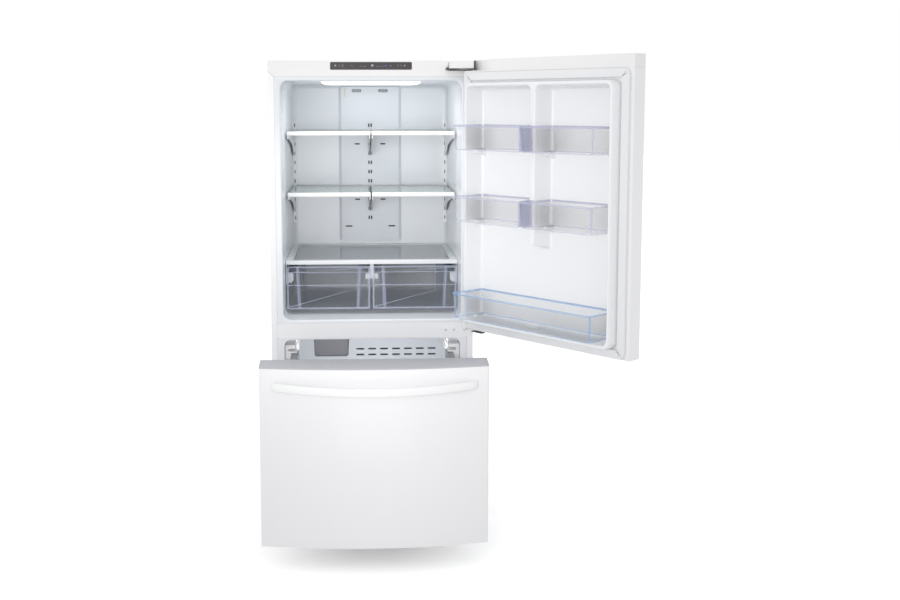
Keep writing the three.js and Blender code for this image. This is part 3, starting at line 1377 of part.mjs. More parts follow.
// Deep basket hung on the ledges, with slotted walls.
const basket = {
  half: slide.barIn - 19, y0: doorPlane + dRise + 12, y1: stepFront - 7, z0: freezerFloor + 24,
  z1: web.low + 12, wall: 3, taper: 14, rimZ: web.low + 4 + fit,
};
const basketRing = (z, g, grow = 0) => {
  const t = ((basket.z1 - z) / (basket.z1 - basket.z0)) * basket.taper;
  return roundRect(-basket.half + t + g - grow, basket.half - t - g + grow,
    basket.y0 + t / 2 + g, basket.y1 - t / 2 - g, 20 - g, 2).map(([x, y]) => [x, y, z]);
};
const basketWalls = cut(
  join(
    outward(loft([basketRing(basket.z0, 0), basketRing(basket.z1, 0)])),
    block(1.1 - web.x0, web.x0 - 1.1, basket.y0 + 20, basket.y1 - 14, basket.rimZ,
      basket.rimZ + 3.4),
  ),
  outward(loft([basketRing(basket.z0 + 3, basket.wall), basketRing(basket.z1 + 1, basket.wall)])),
);
const ledgeZ = basket.z1 - 34; // the upper tray slides on these ledges
const basketLedges = [-1, 1].map((s) => {
  const x = [s * (basket.half - 18), s * (basket.half - 1)].sort((a, b) => a - b);
  return block(...x, basket.y0 + 12, basket.y1 - 12, ledgeZ - 4, ledgeZ);
});
// Windows through two opposite walls: their middles lie evenly between a and b.
const rib = 28; // wall left between two windows
const windows = (a, b, count) =>
  Array.from({ length: count }, (_, i) => {
    const pitch = (b - a) / (count - 1);
    return [a + pitch * i - (pitch - rib) / 2, a + pitch * i + (pitch - rib) / 2];
  });
const windowZ = [basket.z0 + 48, basket.z1 - 80];
const basketWindows = [
  ...windows(49 - basket.half, basket.half - 49, 7).map((x) =>
    block(...x, basket.y0 - 5, basket.y1 + 5, ...windowZ)),
  ...windows(basket.y0 + 62, basket.y1 - 68, 4).map((y) =>
    block(-basket.half - 5, basket.half + 5, ...y, ...windowZ)),
];
part("freezer_basket", cut(join(basketWalls, basketLedges), basketWindows), whitePlastic, drawer);

// Shallow tray that slides over the basket.
const upperTray = {
  half: basket.half - 22, y0: basket.y0 + 6, y1: basket.y0 + 232, z0: ledgeZ - 72,
  z1: ledgeZ + 18, wall: 2.6, rim: ledgeZ + fit,
};
const trayRing = (z, g) => {
  const t = ((upperTray.z1 - z) / (upperTray.z1 - upperTray.z0)) * 8;
  return roundRect(-upperTray.half + t + g, upperTray.half - t - g, upperTray.y0 + t + g,
    upperTray.y1 - t - g, 16 - g, 3).map(([x, y]) => [x, y, z]);
};
part(
  "freezer_tray",
  cut(
    join(
      outward(loft([trayRing(upperTray.z0, 0), trayRing(upperTray.z1, 0)])),
      block(-basket.half + 8, basket.half - 8, upperTray.y0 + 18, upperTray.y1 - 18,
        upperTray.rim, upperTray.rim + 3),
    ),
    outward(loft([trayRing(upperTray.z0 + 2.6, upperTray.wall),
      trayRing(upperTray.z1 + 1, upperTray.wall)])),
  ),
  clearPlastic,
  drawer,
);

// ------------------------------------------------------------------ frame of reference
// The origin is the middle of the standing shape's footprint, on the floor.
refrigerator.updateMatrixWorld(true);
const bounds = new THREE.Box3().setFromObject(refrigerator, true);
model.position.set(
  -(bounds.min.x + bounds.max.x) / 2,
  -(bounds.min.y + bounds.max.y) / 2,
  -bounds.min.z,
);

export default refrigerator;
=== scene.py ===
"""Looks of a white bottom freezer refrigerator, its door open and its freezer drawer pulled out.

Shapes are drawn in millimetres about the cabinet: x from its centre plane, y from the face that the
gaskets seal on (less than 0 is in front of it), z from the floor, with the door and the drawer shut.
CABINET, DOOR and DRAWER bring them to their places in the part's frame.
"""
import json
import math
from bisect import bisect_right

import bmesh
import bpy
from mathutils import Matrix, Vector
from mathutils.geometry import tessellate_polygon


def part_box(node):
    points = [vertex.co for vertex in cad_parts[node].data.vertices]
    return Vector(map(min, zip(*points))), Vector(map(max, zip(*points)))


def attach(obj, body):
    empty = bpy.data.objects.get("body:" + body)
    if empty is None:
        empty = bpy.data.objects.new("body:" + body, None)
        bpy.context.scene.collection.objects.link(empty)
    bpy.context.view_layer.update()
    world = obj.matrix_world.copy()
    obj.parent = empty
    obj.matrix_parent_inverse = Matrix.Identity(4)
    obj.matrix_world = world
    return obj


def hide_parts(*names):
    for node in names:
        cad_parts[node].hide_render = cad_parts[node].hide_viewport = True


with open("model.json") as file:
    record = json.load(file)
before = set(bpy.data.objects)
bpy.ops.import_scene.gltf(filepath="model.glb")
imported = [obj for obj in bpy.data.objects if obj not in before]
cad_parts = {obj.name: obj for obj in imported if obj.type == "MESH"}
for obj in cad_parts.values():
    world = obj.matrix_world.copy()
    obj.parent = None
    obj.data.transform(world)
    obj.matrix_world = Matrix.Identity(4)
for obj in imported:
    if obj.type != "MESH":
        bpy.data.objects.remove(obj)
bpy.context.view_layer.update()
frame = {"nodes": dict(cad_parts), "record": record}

MM = 0.001

# ------------ sizes and places
HALF = 378  # half width of the cabinet, the door and the drawer
FRESH_BACK = 650  # rear wall of the fresh-food compartment
MOUTH = 332  # half width of the mouths
FRESH_LOW, FRESH_HIGH = 737, 1624
BACK_PLANE = -12  # inner face of the door and of the drawer front
BULGE = 39  # how far the fronts bow out between their sides
CORNER = 9  # vertical corner radius of the fronts
DOOR_LOW, DOOR_SKIN_TOP, DOOR_EDGE = 710, 1654, 72  # the edge is a front's depth at its sides
DRAWER_LOW, DRAWER_SKIN_TOP, DRAWER_EDGE = 81.5, 682.8, 86
HINGE = (363.8, -34.5)  # the door's axis
DOOR_OPEN = math.radians(129.78)
DRAWER_OUT = 455

_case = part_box("outer_case")
CABINET = Matrix.Translation(((_case[0].x + _case[1].x) / 2, _case[0].y, 0)) @ Matrix.Scale(MM, 4)
DOOR = (CABINET @ Matrix.Translation((*HINGE, 0)) @ Matrix.Rotation(DOOR_OPEN, 4, "Z")
        @ Matrix.Translation((-HINGE[0], -HINGE[1], 0)))
DRAWER = CABINET @ Matrix.Translation((0, -DRAWER_OUT, 0))


def bowed(x, edge):
    """Depth of a bowed front at x, whose edges stand at -edge."""
    r = (HALF**2 + BULGE**2) / (2 * BULGE)
    return -edge - (math.sqrt(r * r - x * x) - (r - BULGE))


# ------------ finishes
def tone(r, g, b):
    """A colour as read off a picture, 0 to 255, as the shader wants it."""
    def linear(v):
        return v / 12.92 if v <= 0.04045 else ((v + 0.055) / 1.055) ** 2.4
    return (linear(r / 255), linear(g / 255), linear(b / 255), 1)


def shade(colour, k):
    return (colour[0] * k, colour[1] * k, colour[2] * k, 1)


def feed(tree, socket, source):
    """Gives a socket a value, or another socket to take it from."""
    if isinstance(source, bpy.types.NodeSocket):
        tree.links.new(source, socket)
    else:
        socket.default_value = source


def add_node(tree, kind, output=0, settings=(), **inputs):
    """Adds a node whose inputs are fed by name, and gives one of its outputs."""
    node = tree.nodes.new(kind)
    for key, value in settings:
        setattr(node, key, value)
    for key, source in inputs.items():
        feed(tree, node.inputs[key.replace("_", " ")], source)
    return node.outputs[output]


def add_math(tree, operation, a, b=0.0):
    node = tree.nodes.new("ShaderNodeMath")
    node.operation = operation
    feed(tree, node.inputs[0], a)
    feed(tree, node.inputs[1], b)
    return node.outputs[0]


class Finish:
    """A material being built: a Principled shader with patterns on Object coordinates."""

    def __init__(self, name, colour, roughness, **sockets):
        self.material = bpy.data.materials.new(name)
        self.material.use_nodes = True
        self.tree = self.material.node_tree
        self.tree.nodes.clear()
        skin = self.add("BsdfPrincipled", Base_Color=colour, Roughness=roughness, **sockets)
        self.skin = skin.node
        self.out = self.tree.nodes.new("ShaderNodeOutputMaterial")
        feed(self.tree, self.out.inputs["Surface"], skin)
        self.colour = colour
        self.where = self.add("TexCoord", "Object")

    def add(self, kind, output=0, **inputs):
        return add_node(self.tree, "ShaderNode" + kind, output, **inputs)

    def cloud(self, scale, detail, stretch=None):
        """Noise, and the lengths it is stretched along."""
        where = self.add("Mapping", Vector=self.where, Scale=stretch) if stretch else self.where
        return self.add("TexNoise", Vector=where, Scale=scale, Detail=detail)

    def mottle(self, factor, other, low=0.15, high=0.85):
        """Varies the colour towards another by a pattern."""
        colour = self.add("ValToRGB", Fac=factor)
        ramp = colour.node.color_ramp
        ramp.interpolation = "EASE"
        for end, at, value in zip(ramp.elements, (low, high), (self.colour, other)):
            end.position = at
            end.color = value
        feed(self.tree, self.skin.inputs["Base Color"], colour)

    def gloss(self, factor, low, high):
        """Varies the roughness between two values by a pattern."""
        feed(self.tree, self.skin.inputs["Roughness"],
             self.add("MapRange", Value=factor, To_Min=low, To_Max=high))

    def relief(self, factor, strength, depth):
        """Bump of a real depth in metres."""
        feed(self.tree, self.skin.inputs["Normal"],
             self.add("Bump", Height=factor, Strength=strength, Distance=depth))


def enamel(name, colour, roughness=0.24):
    """Baked enamel on sheet steel: smooth and glossy, with a faint orange peel."""
    f = Finish(name, colour, roughness, Coat_Weight=0.35, Coat_Roughness=0.08)
    f.mottle(f.cloud(1.4, 2), shade(colour, 0.985))
    f.gloss(f.cloud(7, 3), roughness - 0.01, roughness + 0.02)
    f.relief(f.cloud(120, 1), 0.03, 0.00004)
    return f.material


def moulding(name, colour, roughness=0.38, grain=900, depth=0.00003, wear=0.98):
    """Injection moulded plastic with a fine spark-eroded grain."""
    f = Finish(name, colour, roughness)
    f.mottle(f.cloud(4, 3), shade(colour, wear))
    f.gloss(f.cloud(50, 3), roughness - 0.05, roughness + 0.07)
    f.relief(f.cloud(grain, 2), 0.2, depth)
    return f.material


def formed(name, colour):
    """Vacuum formed liner sheet: glossy, with the long soft waves of a drawn sheet."""
    roughness = 0.26
    f = Finish(name, colour, roughness, Coat_Weight=0.3, Coat_Roughness=0.12)
    f.mottle(f.cloud(1.2, 2, (1, 1, 0.4)), shade(colour, 0.98))
    f.gloss(f.cloud(6, 3), roughness - 0.01, roughness + 0.02)
    f.relief(f.cloud(3, 0, (1, 1, 0.35)), 0.05, 0.0004)
    return f.material


def zinc(name, colour, roughness=0.42, scale=70):
    """Zinc coated sheet with its spangle."""
    f = Finish(name, colour, roughness, Metallic=0.85)
    f.mottle(f.add("TexVoronoi", "Color", Vector=f.where, Scale=scale), shade(colour, 0.82), 0.1, 0.9)
    f.gloss(f.cloud(90, 4), roughness - 0.1, roughness + 0.12)
    f.relief(f.cloud(300, 3), 0.12, 0.00006)
    return f.material


def clear(name, colour, roughness, face, rim, blend=0.35):
    """Clear moulding or glass: thin to look through, denser where it is seen edge on."""
    f = Finish(name, colour, roughness, IOR=1.49)
    facing = f.add("LayerWeight", "Facing", Blend=blend)
    feed(f.tree, f.skin.inputs["Alpha"], f.add("MapRange", Value=facing, To_Min=face, To_Max=rim))
    f.mottle(f.cloud(6, 3), shade(colour, 0.96))
    f.gloss(f.cloud(25, 3), roughness, roughness + 0.05)
    f.relief(f.cloud(14, 1), 0.06, 0.0003)
    return f.material


def lit(name, colour, strength):
    """A surface that glows from behind."""
    f = Finish(name, colour, 0.4, Emission_Color=colour, Emission_Strength=strength)
    f.mottle(f.cloud(30, 2), shade(colour, 0.96))
    f.gloss(f.cloud(80, 2), 0.35, 0.45)
    return f.material


WHITE_ENAMEL = enamel("white enamel", tone(244, 244, 246))
WHITE_PLASTIC = moulding("white moulded plastic", tone(245, 244, 244), 0.34)
HANDLE_PLASTIC = moulding("polished white handle", tone(247, 247, 248), 0.16, 500, 0.00001, 0.99)
CABINET_LINER = formed("cool white liner", tone(233, 236, 240))
DOOR_LINER = formed("white door liner", tone(246, 247, 249))
DUCT_PLASTIC = moulding("cool white duct plastic", tone(230, 233, 238), 0.32)
FREEZER_PLASTIC = moulding("cool white freezer plastic", tone(228, 231, 236), 0.36)
RECESS_PLASTIC = moulding("grey recess plastic", tone(150, 150, 155), 0.5)
# painted shade: the dark grey of the shaded hollows behind slots
SHADOW_GREY = moulding("painted slot shade", tone(62, 64, 68), 0.6)
# painted shade: the mid grey of the shaded insides of the duct's outlets
VENT_SHADE_GREY = moulding("painted vent shade", tone(150, 155, 162), 0.5)
GREY_CAP = moulding("matt light grey cap", tone(190, 191, 196), 0.5, 1200, 0.00005)
COVER_PLASTIC = moulding("pale grey shelf plastic", tone(232, 234, 237), 0.36)
IVORY_PLASTIC = moulding("ivory sensor clip", tone(226, 224, 208), 0.4)
SMOKED_WINDOW = moulding("smoked window", tone(70, 65, 69), 0.2, 300, 0.00001, 0.93)
DARK_STEEL = zinc("dark plated steel", tone(96, 96, 93), 0.36, 120)
ZINC_STEEL = zinc("zinc coated steel", tone(178, 182, 186))
SCREW_STEEL = zinc("bright screw steel", tone(190, 192, 195), 0.3, 260)
BLACK_PAINT = enamel("black enamel", tone(34, 35, 37), 0.35)
DARK_PLASTIC = moulding("dark grey plastic", tone(50, 51, 54), 0.5)
FOAM = moulding("insulating foam", tone(226, 214, 170), 0.9, 260, 0.0006, 0.85)
SEAL = moulding("white gasket vinyl", tone(238, 239, 241), 0.5, 500, 0.00003)
SHELF_GLASS = clear("tempered shelf glass", tone(206, 222, 222), 0.05, 0.14, 0.7)
COVER_GLASS = clear("grey tempered glass", tone(158, 164, 171), 0.06, 0.5, 0.85)
CRISPER_PLASTIC = clear("clear crisper plastic", tone(196, 202, 214), 0.06, 0.07, 0.5, 0.25)
CRISPER_EDGE = clear("crisper edges", tone(206, 214, 236), 0.1, 0.45, 0.85)
BIN_PLASTIC = clear("clear bin plastic", tone(240, 241, 248), 0.05, 0.02, 0.22, 0.15)
BIN_EDGE = clear("lilac bin edges", tone(204, 206, 232), 0.1, 0.38, 0.75)
DEEP_BIN_PLASTIC = clear("clear deep bin plastic", tone(232, 240, 250), 0.05, 0.02, 0.22, 0.15)
DEEP_BIN_EDGE = clear("blue bin edges", tone(160, 198, 242), 0.1, 0.45, 0.75)
LAMP_LENS = lit("lamp diffuser", tone(252, 253, 254), 0.75)
FIN_STOCK = zinc("aluminium fin stock", tone(180, 185, 190), 0.35)
PANEL_MARK = lit("pale panel mark", tone(206, 205, 210), 0.35)
PANEL_DIM = lit("dim panel mark", tone(150, 147, 152), 0.15)
PANEL_BLUE = lit("blue panel light", tone(84, 124, 232), 1.2)


# ------------ drawing
def rounded(u0, u1, v0, v1, radius, steps=8):
    """A rectangle with rounded corners."""
    out = []
    for cu, cv, start in ((u1 - radius, v1 - radius, 0), (u0 + radius, v1 - radius, 90),
                          (u0 + radius, v0 + radius, 180), (u1 - radius, v0 + radius, 270)):
        for i in range(steps + 1):
            a = math.radians(start + 90 * i / steps)
            out.append((cu + radius * math.cos(a), cv + radius * math.sin(a)))
    return out


def disc(u, v, radius, sides=24):
    return [(u + radius * math.cos(2 * math.pi * i / sides), v + radius * math.sin(2 * math.pi * i / sides))
            for i in range(sides)]


def eased(corners, radii, steps=6):
    """A line of straight runs with its inner corners rounded."""
    out = [Vector(corners[0])]
    for before, at, after, radius in zip(corners, corners[1:], corners[2:], radii):
        at = Vector(at)
        a, b = (Vector(before) - at).normalized(), (Vector(after) - at).normalized()
        half_angle = a.angle(b) / 2
        centre = at + (a + b).normalized() * (radius / math.sin(half_angle))
        run = radius / math.tan(half_angle)
        start, end = at + a * run - centre, at + b * run - centre
        for i in range(steps + 1):
            out.append(centre + start.lerp(end, i / steps).normalized() * radius)
    out.append(Vector(corners[-1]))
    return out


def height_of(section, s):
    """Height of a section, a line of (distance, height), at distance s."""
    i = min(max(bisect_right([p[0] for p in section], s), 1), len(section) - 1)
    (s0, h0), (s1, h1) = section[i - 1], section[i]
    t = min(max((s - s0) / (s1 - s0), 0), 1)
    return h0 + (h1 - h0) * t


def inside(x, z, x0, x1, z0, z1, radius):
    """How deep a point lies inside a rounded rectangle, less than 0 outside it."""
    qx = abs(x - (x0 + x1) / 2) - (x1 - x0) / 2 + radius
    qz = abs(z - (z0 + z1) / 2) - (z1 - z0) / 2 + radius
    return radius - math.hypot(max(qx, 0), max(qz, 0)) - min(max(qx, qz), 0)


def ruled(start, end, walls, fine, reach=8, coarse=14):
    """Grid lines, close together near the walls of a moulding and wide apart elsewhere."""
    lines = [start]
    while lines[-1] < end:
        near = min(abs(lines[-1] - w) for w in walls) - reach
        lines.append(min(lines[-1] + min(max(fine, fine + near * 0.4), coarse), end))
    return lines


UPRIGHT = {"x": lambda u, v, d: (d, u, v), "y": lambda u, v, d: (u, d, v), "z": lambda u, v, d: (u, v, d)}


class Shape:
    """Forms gathered into one mesh, drawn in millimetres."""

    def __init__(self):
        self.bm = bmesh.new()

    def skin(self, loops, ends=(True, True)):
        """A skin over a row of closed loops of points, with its ends filled."""
        rows = [[self.bm.verts.new(p) for p in loop] for loop in loops]
        count = len(rows[0])
        faces = [self.bm.faces.new((a[i], a[(i + 1) % count], b[(i + 1) % count], b[i]))
                 for a, b in zip(rows, rows[1:]) for i in range(count)]
        if ends[0]:
            faces.append(self.bm.faces.new(rows[0][::-1]))
        if ends[1]:
            faces.append(self.bm.faces.new(rows[-1]))
        return faces

    def plate(self, axis, a, b, outline, holes=()):
        """A flat plate with holes between two planes square to an axis."""
        rings = [outline, *holes]
        flat = [p for ring in rings for p in ring]
        low = [self.bm.verts.new(UPRIGHT[axis](u, v, a)) for u, v in flat]
        high = [self.bm.verts.new(UPRIGHT[axis](u, v, b)) for u, v in flat]
        for tri in tessellate_polygon([[Vector((u, v, 0)) for u, v in ring] for ring in rings]):
            self.bm.faces.new([low[i] for i in tri])
            self.bm.faces.new([high[i] for i in reversed(tri)])
        start = 0
        for ring in rings:
            n = len(ring)
            for i in range(n):
                p, q = start + i, start + (i + 1) % n
                self.bm.faces.new((low[p], low[q], high[q], high[p]))
            start += n

    def sheet(self, xs, zs, depth):
        """An open sheet that faces the viewer, at depth(x, z)."""
        rows = [[self.bm.verts.new((x, depth(x, z), z)) for x in xs] for z in zs]
        for a, b in zip(rows, rows[1:]):
            for i in range(len(xs) - 1):
                self.bm.faces.new((a[i], a[i + 1], b[i + 1], b[i]))

    def weld(self):
        """Joins the ends of a skin that comes back to its start."""
        bmesh.ops.remove_doubles(self.bm, verts=self.bm.verts, dist=0.001)

    def mesh(self):
        mesh = bpy.data.meshes.new("form")
        self.bm.to_mesh(mesh)
        self.bm.free()
        return mesh

    def solid(self):
        """The mesh of closed forms, with their faces turned outwards."""
        bmesh.ops.recalc_face_normals(self.bm, faces=self.bm.faces[:])
        return self.mesh()


def body_of(node):
    return next(b for b, nodes in frame["record"]["behaviour"]["bodies"].items() if node in nodes)


def slot_of(node):
    return next(s["material_slot"] for s in frame["record"]["subparts"] if s["node"] == node)


def place_of(node):
    """Where a node's body stands; the bins, which are bodies of their own, stand on the door."""
    return {"cabinet": CABINET, "freezer_drawer": DRAWER}.get(body_of(node), DOOR)


def stand(name, mesh, finishes, node, extra=False, placed=False, crisp=32, edge=0, rows=2, wall=0,
          edge_finish=-1):
    """Stands a mesh in its body's place as a piece that replaces a node, or as an extra beside it.

    placed says that it was drawn in its place, crisp is the angle above which an edge stays sharp,
    edge the radius that sharp edges are rounded to, rows the faces around them, edge_finish the
    finish they take, and wall the thickness that an open sheet gets behind its face.
    """
    if not placed:
        mesh.transform(place_of(node))
    for face in mesh.polygons:
        face.use_smooth = True
    painted = [face.material_index for face in mesh.polygons]
    mesh.materials.clear()
    for material in finishes:
        mesh.materials.append(material)
    mesh.polygons.foreach_set("material_index", painted)
    bm = bmesh.new()
    bm.from_mesh(mesh)
    limit = math.radians(crisp)
    for line in bm.edges:
        line.smooth = len(line.link_faces) == 2 and line.calc_face_angle(0) < limit
    bm.to_mesh(mesh)
    bm.free()
    piece = held(mesh, name)
    if wall:
        thick = piece.modifiers.new("sheet thickness", "SOLIDIFY")
        thick.thickness = wall * MM
        thick.offset = -1
    if edge:
        bevel = piece.modifiers.new("rounded edges", "BEVEL")
        bevel.width = edge * MM
        bevel.segments = rows
        bevel.limit_method = "ANGLE"
        bevel.angle_limit = limit
        bevel.miter_outer = "MITER_ARC"
        bevel.material = edge_finish
    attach(piece, body_of(node))
    slot_of(node)
    if not extra:
        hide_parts(node)


NARROW = 4.2 * MM  # faces narrower than this are the edges of a wall
FLOOR_RISE = 12 * MM  # a floor lies no higher than this above the lowest point


def softened(node, finishes, edge, rows, flatten, shrink=0):
    """A node's own shape with its edges rounded and its curves made smooth; narrow faces take the
    second finish, and shrink draws a hidden core in from the walls around it."""
    bm = bmesh.new()
    bm.from_mesh(frame["nodes"][node].data)
    bmesh.ops.remove_doubles(bm, verts=bm.verts, dist=0.00002)
    if flatten:
        bmesh.ops.dissolve_limit(bm, angle_limit=math.radians(0.6), verts=bm.verts, edges=bm.edges,
                                 use_dissolve_boundaries=False, delimit={"NORMAL"})
    bm.normal_update()
    low = min(vert.co.z for vert in bm.verts)
    for face in bm.faces:
        across = face.calc_area() / max(line.calc_length() for line in face.edges)
        floor = abs(face.normal.z) > 0.9 and face.calc_center_median().z < low + FLOOR_RISE
        face.material_index = 1 if len(finishes) > 1 and across < NARROW and not floor else 0
    for vert in bm.verts:
        vert.co -= vert.normal * shrink * MM
    mesh = bpy.data.meshes.new("form")
    bm.to_mesh(mesh)
    bm.free()
    stand(node + "_form", mesh, finishes, node, placed=True, edge=edge, rows=rows,
          edge_finish=len(finishes) - 1 or -1)


# ------------ Geometry Nodes
class Tree:
    """A Geometry Nodes tree being built, with named inputs."""

    def __init__(self, name):
        self.group = bpy.data.node_groups.new(name, "GeometryNodeTree")
        self.sockets = {}
        for way in ("OUTPUT", "INPUT"):
            self.group.interface.new_socket("Geometry", in_out=way, socket_type="NodeSocketGeometry")
        self.inputs = self.group.nodes.new("NodeGroupInput")
        self.output = self.group.nodes.new("NodeGroupOutput")
        self.mesh = self.inputs.outputs[0]

    def take(self, name, kind):
        """Adds a named input and gives its socket inside the tree."""
        made = self.group.interface.new_socket(name, in_out="INPUT", socket_type="NodeSocket" + kind)
        self.sockets[name] = made.identifier
        return next(s for s in self.inputs.outputs if s.identifier == made.identifier)

    def add(self, kind, output=0, settings=(), **inputs):
        return add_node(self.group, "GeometryNode" + kind, output, settings, **inputs)

    def vector(self, x, y, z):
        return add_node(self.group, "ShaderNodeCombineXYZ", X=x, Y=y, Z=z)

    def math(self, operation, a, b=0.0):
        return add_math(self.group, operation, a, b)

    def close(self, geometry, material):
        """Ends the tree in real, dressed geometry."""
        real = self.add("RealizeInstances", Geometry=geometry)
        dressed = self.add("SetMaterial", Geometry=real, Material=material)
        feed(self.group, self.output.inputs[0], dressed)

    def grow(self, mesh, **values):
        """Runs the tree on a mesh and gives the plain mesh that comes out."""
        holder = held(mesh)
        modifier = holder.modifiers.new("tree", "NODES")
        modifier.node_group = self.group
        for name, value in values.items():
            modifier[self.sockets[name.replace("_", " ")]] = value
        drawn = holder.evaluated_get(bpy.context.evaluated_depsgraph_get())
        grown = bpy.data.meshes.new_from_object(drawn)
        holder.modifiers.remove(modifier)
        bpy.data.objects.remove(holder)
        return grown


def held(mesh, name="holder"):
    """An object in the scene that holds a mesh."""
    holder = bpy.data.objects.new(name, mesh)
    bpy.context.scene.collection.objects.link(holder)
    return holder


def line_mesh(points, cyclic=False):
    """A mesh of points joined by edges, as the path or the section of a sweep."""
    mesh = bpy.data.meshes.new("line")
    count = len(points)
    ends = [(i, (i + 1) % count) for i in range(count if cyclic else count - 1)]
    mesh.from_pydata([(*p, 0)[:3] for p in points], ends, [])
    return mesh


def sweep_tree():
    """Sweeps a section along the path that the object's edges draw; the section's first axis points
    to the path's right and its second down."""
    tree = Tree("swept section")
    section = tree.take("Section", "Object")
    width, height = tree.take("Section width", "Float"), tree.take("Section height", "Float")
    material = tree.take("Material", "Material")
    path = tree.add("MeshToCurve", Mesh=tree.mesh)
    level = tree.add("SetCurveNormal", settings=[("mode", "Z_UP")], Curve=path)
    drawn = tree.add("ObjectInfo", "Geometry", Object=section)
    sized = tree.add("Transform", Geometry=drawn, Scale=tree.vector(width, height, 1.0))
    profile = tree.add("MeshToCurve", Mesh=sized)
    tree.close(tree.add("CurveToMesh", Curve=level, Profile_Curve=profile, Fill_Caps=True), material)
    return tree


def repeat_tree():
    """Stands a copy of a piece at each of the object's points."""
    tree = Tree("set out in rows")
    copy = tree.add("ObjectInfo", "Geometry", Object=tree.take("Piece", "Object"))
    size = tree.take("Size", "Float")
    material = tree.take("Material", "Material")
    points = tree.add("MeshToPoints", Mesh=tree.mesh)
    tree.close(tree.add("InstanceOnPoints", Points=points, Instance=copy, Scale=size), material)
    return tree


def bowed_tree():
    """A bowed front with rounded vertical corners and returns at its sides, by rule."""
    tree = Tree("bowed front")
    half, edge, bulge, corner, rear, low, high = (
        tree.take(name, "Float")
        for name in ("Half width", "Edge", "Bulge", "Corner", "Return", "Bottom", "Top"))
    material = tree.take("Material", "Material")
    grid = tree.add("MeshGrid", Size_X=2.2, Size_Y=1.0, Vertices_X=177, Vertices_Y=13)
    at = add_node(tree.group, "ShaderNodeSeparateXYZ", Vector=tree.add("InputPosition"))
    across, up, _ = at.node.outputs

    add, less, times, over, least, most = (
        lambda a, b, kind=kind: tree.math(kind, a, b)
        for kind in ("ADD", "SUBTRACT", "MULTIPLY", "DIVIDE", "MINIMUM", "MAXIMUM"))
    size, sine, root = (lambda a, kind=kind: tree.math(kind, a)
                        for kind in ("ABSOLUTE", "SINE", "SQRT"))

    def square(a):
        return tree.math("POWER", a, 2.0)

    # -1 to 1 runs across the front, close together at its ends; what lies beyond is the return
    x = times(half, sine(times(least(most(across, -1.0), 1.0), math.pi / 2)))
    beyond = most(over(less(size(across), 1.0), 0.1), 0.0)
    radius = over(add(square(half), square(bulge)), times(bulge, 2.0))
    flat_x = least(size(x), less(half, corner))
    swell = less(root(less(square(radius), square(flat_x))), less(radius, bulge))
    into = most(less(corner, less(half, size(x))), 0.0)
    fall = less(corner, root(most(less(square(corner), square(into)), 0.0)))
    front = add(times(add(edge, swell), -1.0), fall)
    y = add(front, times(beyond, less(rear, front)))
    z = add(low, times(add(up, 0.5), less(high, low)))
    tree.close(tree.add("SetPosition", Geometry=grid, Position=tree.vector(x, y, z)), material)
    return tree


SWEEP = sweep_tree()
REPEAT = repeat_tree()
BOWED = bowed_tree()


def swept(path, section, material, cyclic=False, width=1.0, height=1.0):
    """A section swept along a path, both lists of points, as a plain mesh."""
    drawn = held(line_mesh(section, True))
    grown = SWEEP.grow(line_mesh(path, cyclic), Section=drawn, Section_width=width,
                       Section_height=height, Material=material)
    bpy.data.objects.remove(drawn)
    return grown


def repeated(points, mesh, material, size=1.0):
    """A mesh repeated at points, as one plain mesh."""
    piece = held(mesh)
    spots = bpy.data.meshes.new("spots")
    spots.from_pydata(points, [], [])
    grown = REPEAT.grow(spots, Piece=piece, Size=size, Material=material)
    bpy.data.objects.remove(piece)
    return grown


def upright(mesh):
    """Turns a mesh that was drawn flat in x and y so that its y becomes z."""
    mesh.transform(Matrix.Rotation(math.radians(90), 4, "X"))
    return mesh


# ------------ bowed fronts
SKIN = 0.8  # thickness of the fronts' sheet
SKIN_GAP = 0.3  # between a skin and the cap over it


def across_front(steps):
    """Places across a front, close together at its corners."""
    return [HALF * math.sin(math.pi / 2 * i / steps) for i in range(-steps, steps + 1)]


def corner_fall(x):
    """How far a front falls back at x, round its vertical corners."""
    into = max(CORNER - (HALF - abs(x)), 0)
    return CORNER - math.sqrt(max(CORNER**2 - into**2, 0))


def front_floor(edge, low):
    """The bottom of a bowed front, a plate just inside its skin."""
    inset = SKIN / 2
    rear = BACK_PLANE - 2.6
    curve = [(x * (1 - inset / HALF), bowed(min(abs(x), HALF - CORNER), edge) + inset + corner_fall(x))
             for x in across_front(40)]
    shape = Shape()
    shape.plate("z", low, low + SKIN, [*curve, (HALF - inset, rear), (inset - HALF, rear)])
    return shape.solid()


def bowed_front(node, edge, low, high):
    skin = BOWED.grow(bpy.data.meshes.new("seed"), Half_width=HALF, Edge=edge, Bulge=BULGE,
                      Corner=CORNER, Return=BACK_PLANE - 1, Bottom=low, Top=high - SKIN_GAP,
                      Material=WHITE_ENAMEL)
    stand(node + "_form", skin, [WHITE_ENAMEL], node, wall=SKIN)
    stand(node + "_bottom", front_floor(edge, low + 0.1), [WHITE_ENAMEL], node, extra=True)


def drawer_cap():
    """Grey cap whose top slopes down to the bowed front."""
    heel = [(0, 0), (0, 10), (-0.4, 11), (-1.5, 11.5)]  # off the back plane, above the skin
    nose = [(3, 3.5), (1.6, 3.2), (0.8, 2.7), (0.2, 2.2), (0, 1.6), (0, 0)]  # off the front
    loops = []
    for x in across_front(32):
        front = bowed(x, DRAWER_EDGE) + 0.6 * corner_fall(x)
        loops.append([(x, BACK_PLANE + y, DRAWER_SKIN_TOP + z) for y, z in heel]
                     + [(x, front + y, DRAWER_SKIN_TOP + z) for y, z in nose])
    shape = Shape()
    shape.skin(loops)
    stand("drawer_cap_form", shape.solid(), [GREY_CAP], "drawer_top_cap", crisp=40, edge=0.6)


bowed_front("door_skin", DOOR_EDGE, DOOR_LOW, DOOR_SKIN_TOP)
bowed_front("drawer_skin", DRAWER_EDGE, DRAWER_LOW, DRAWER_SKIN_TOP)
drawer_cap()


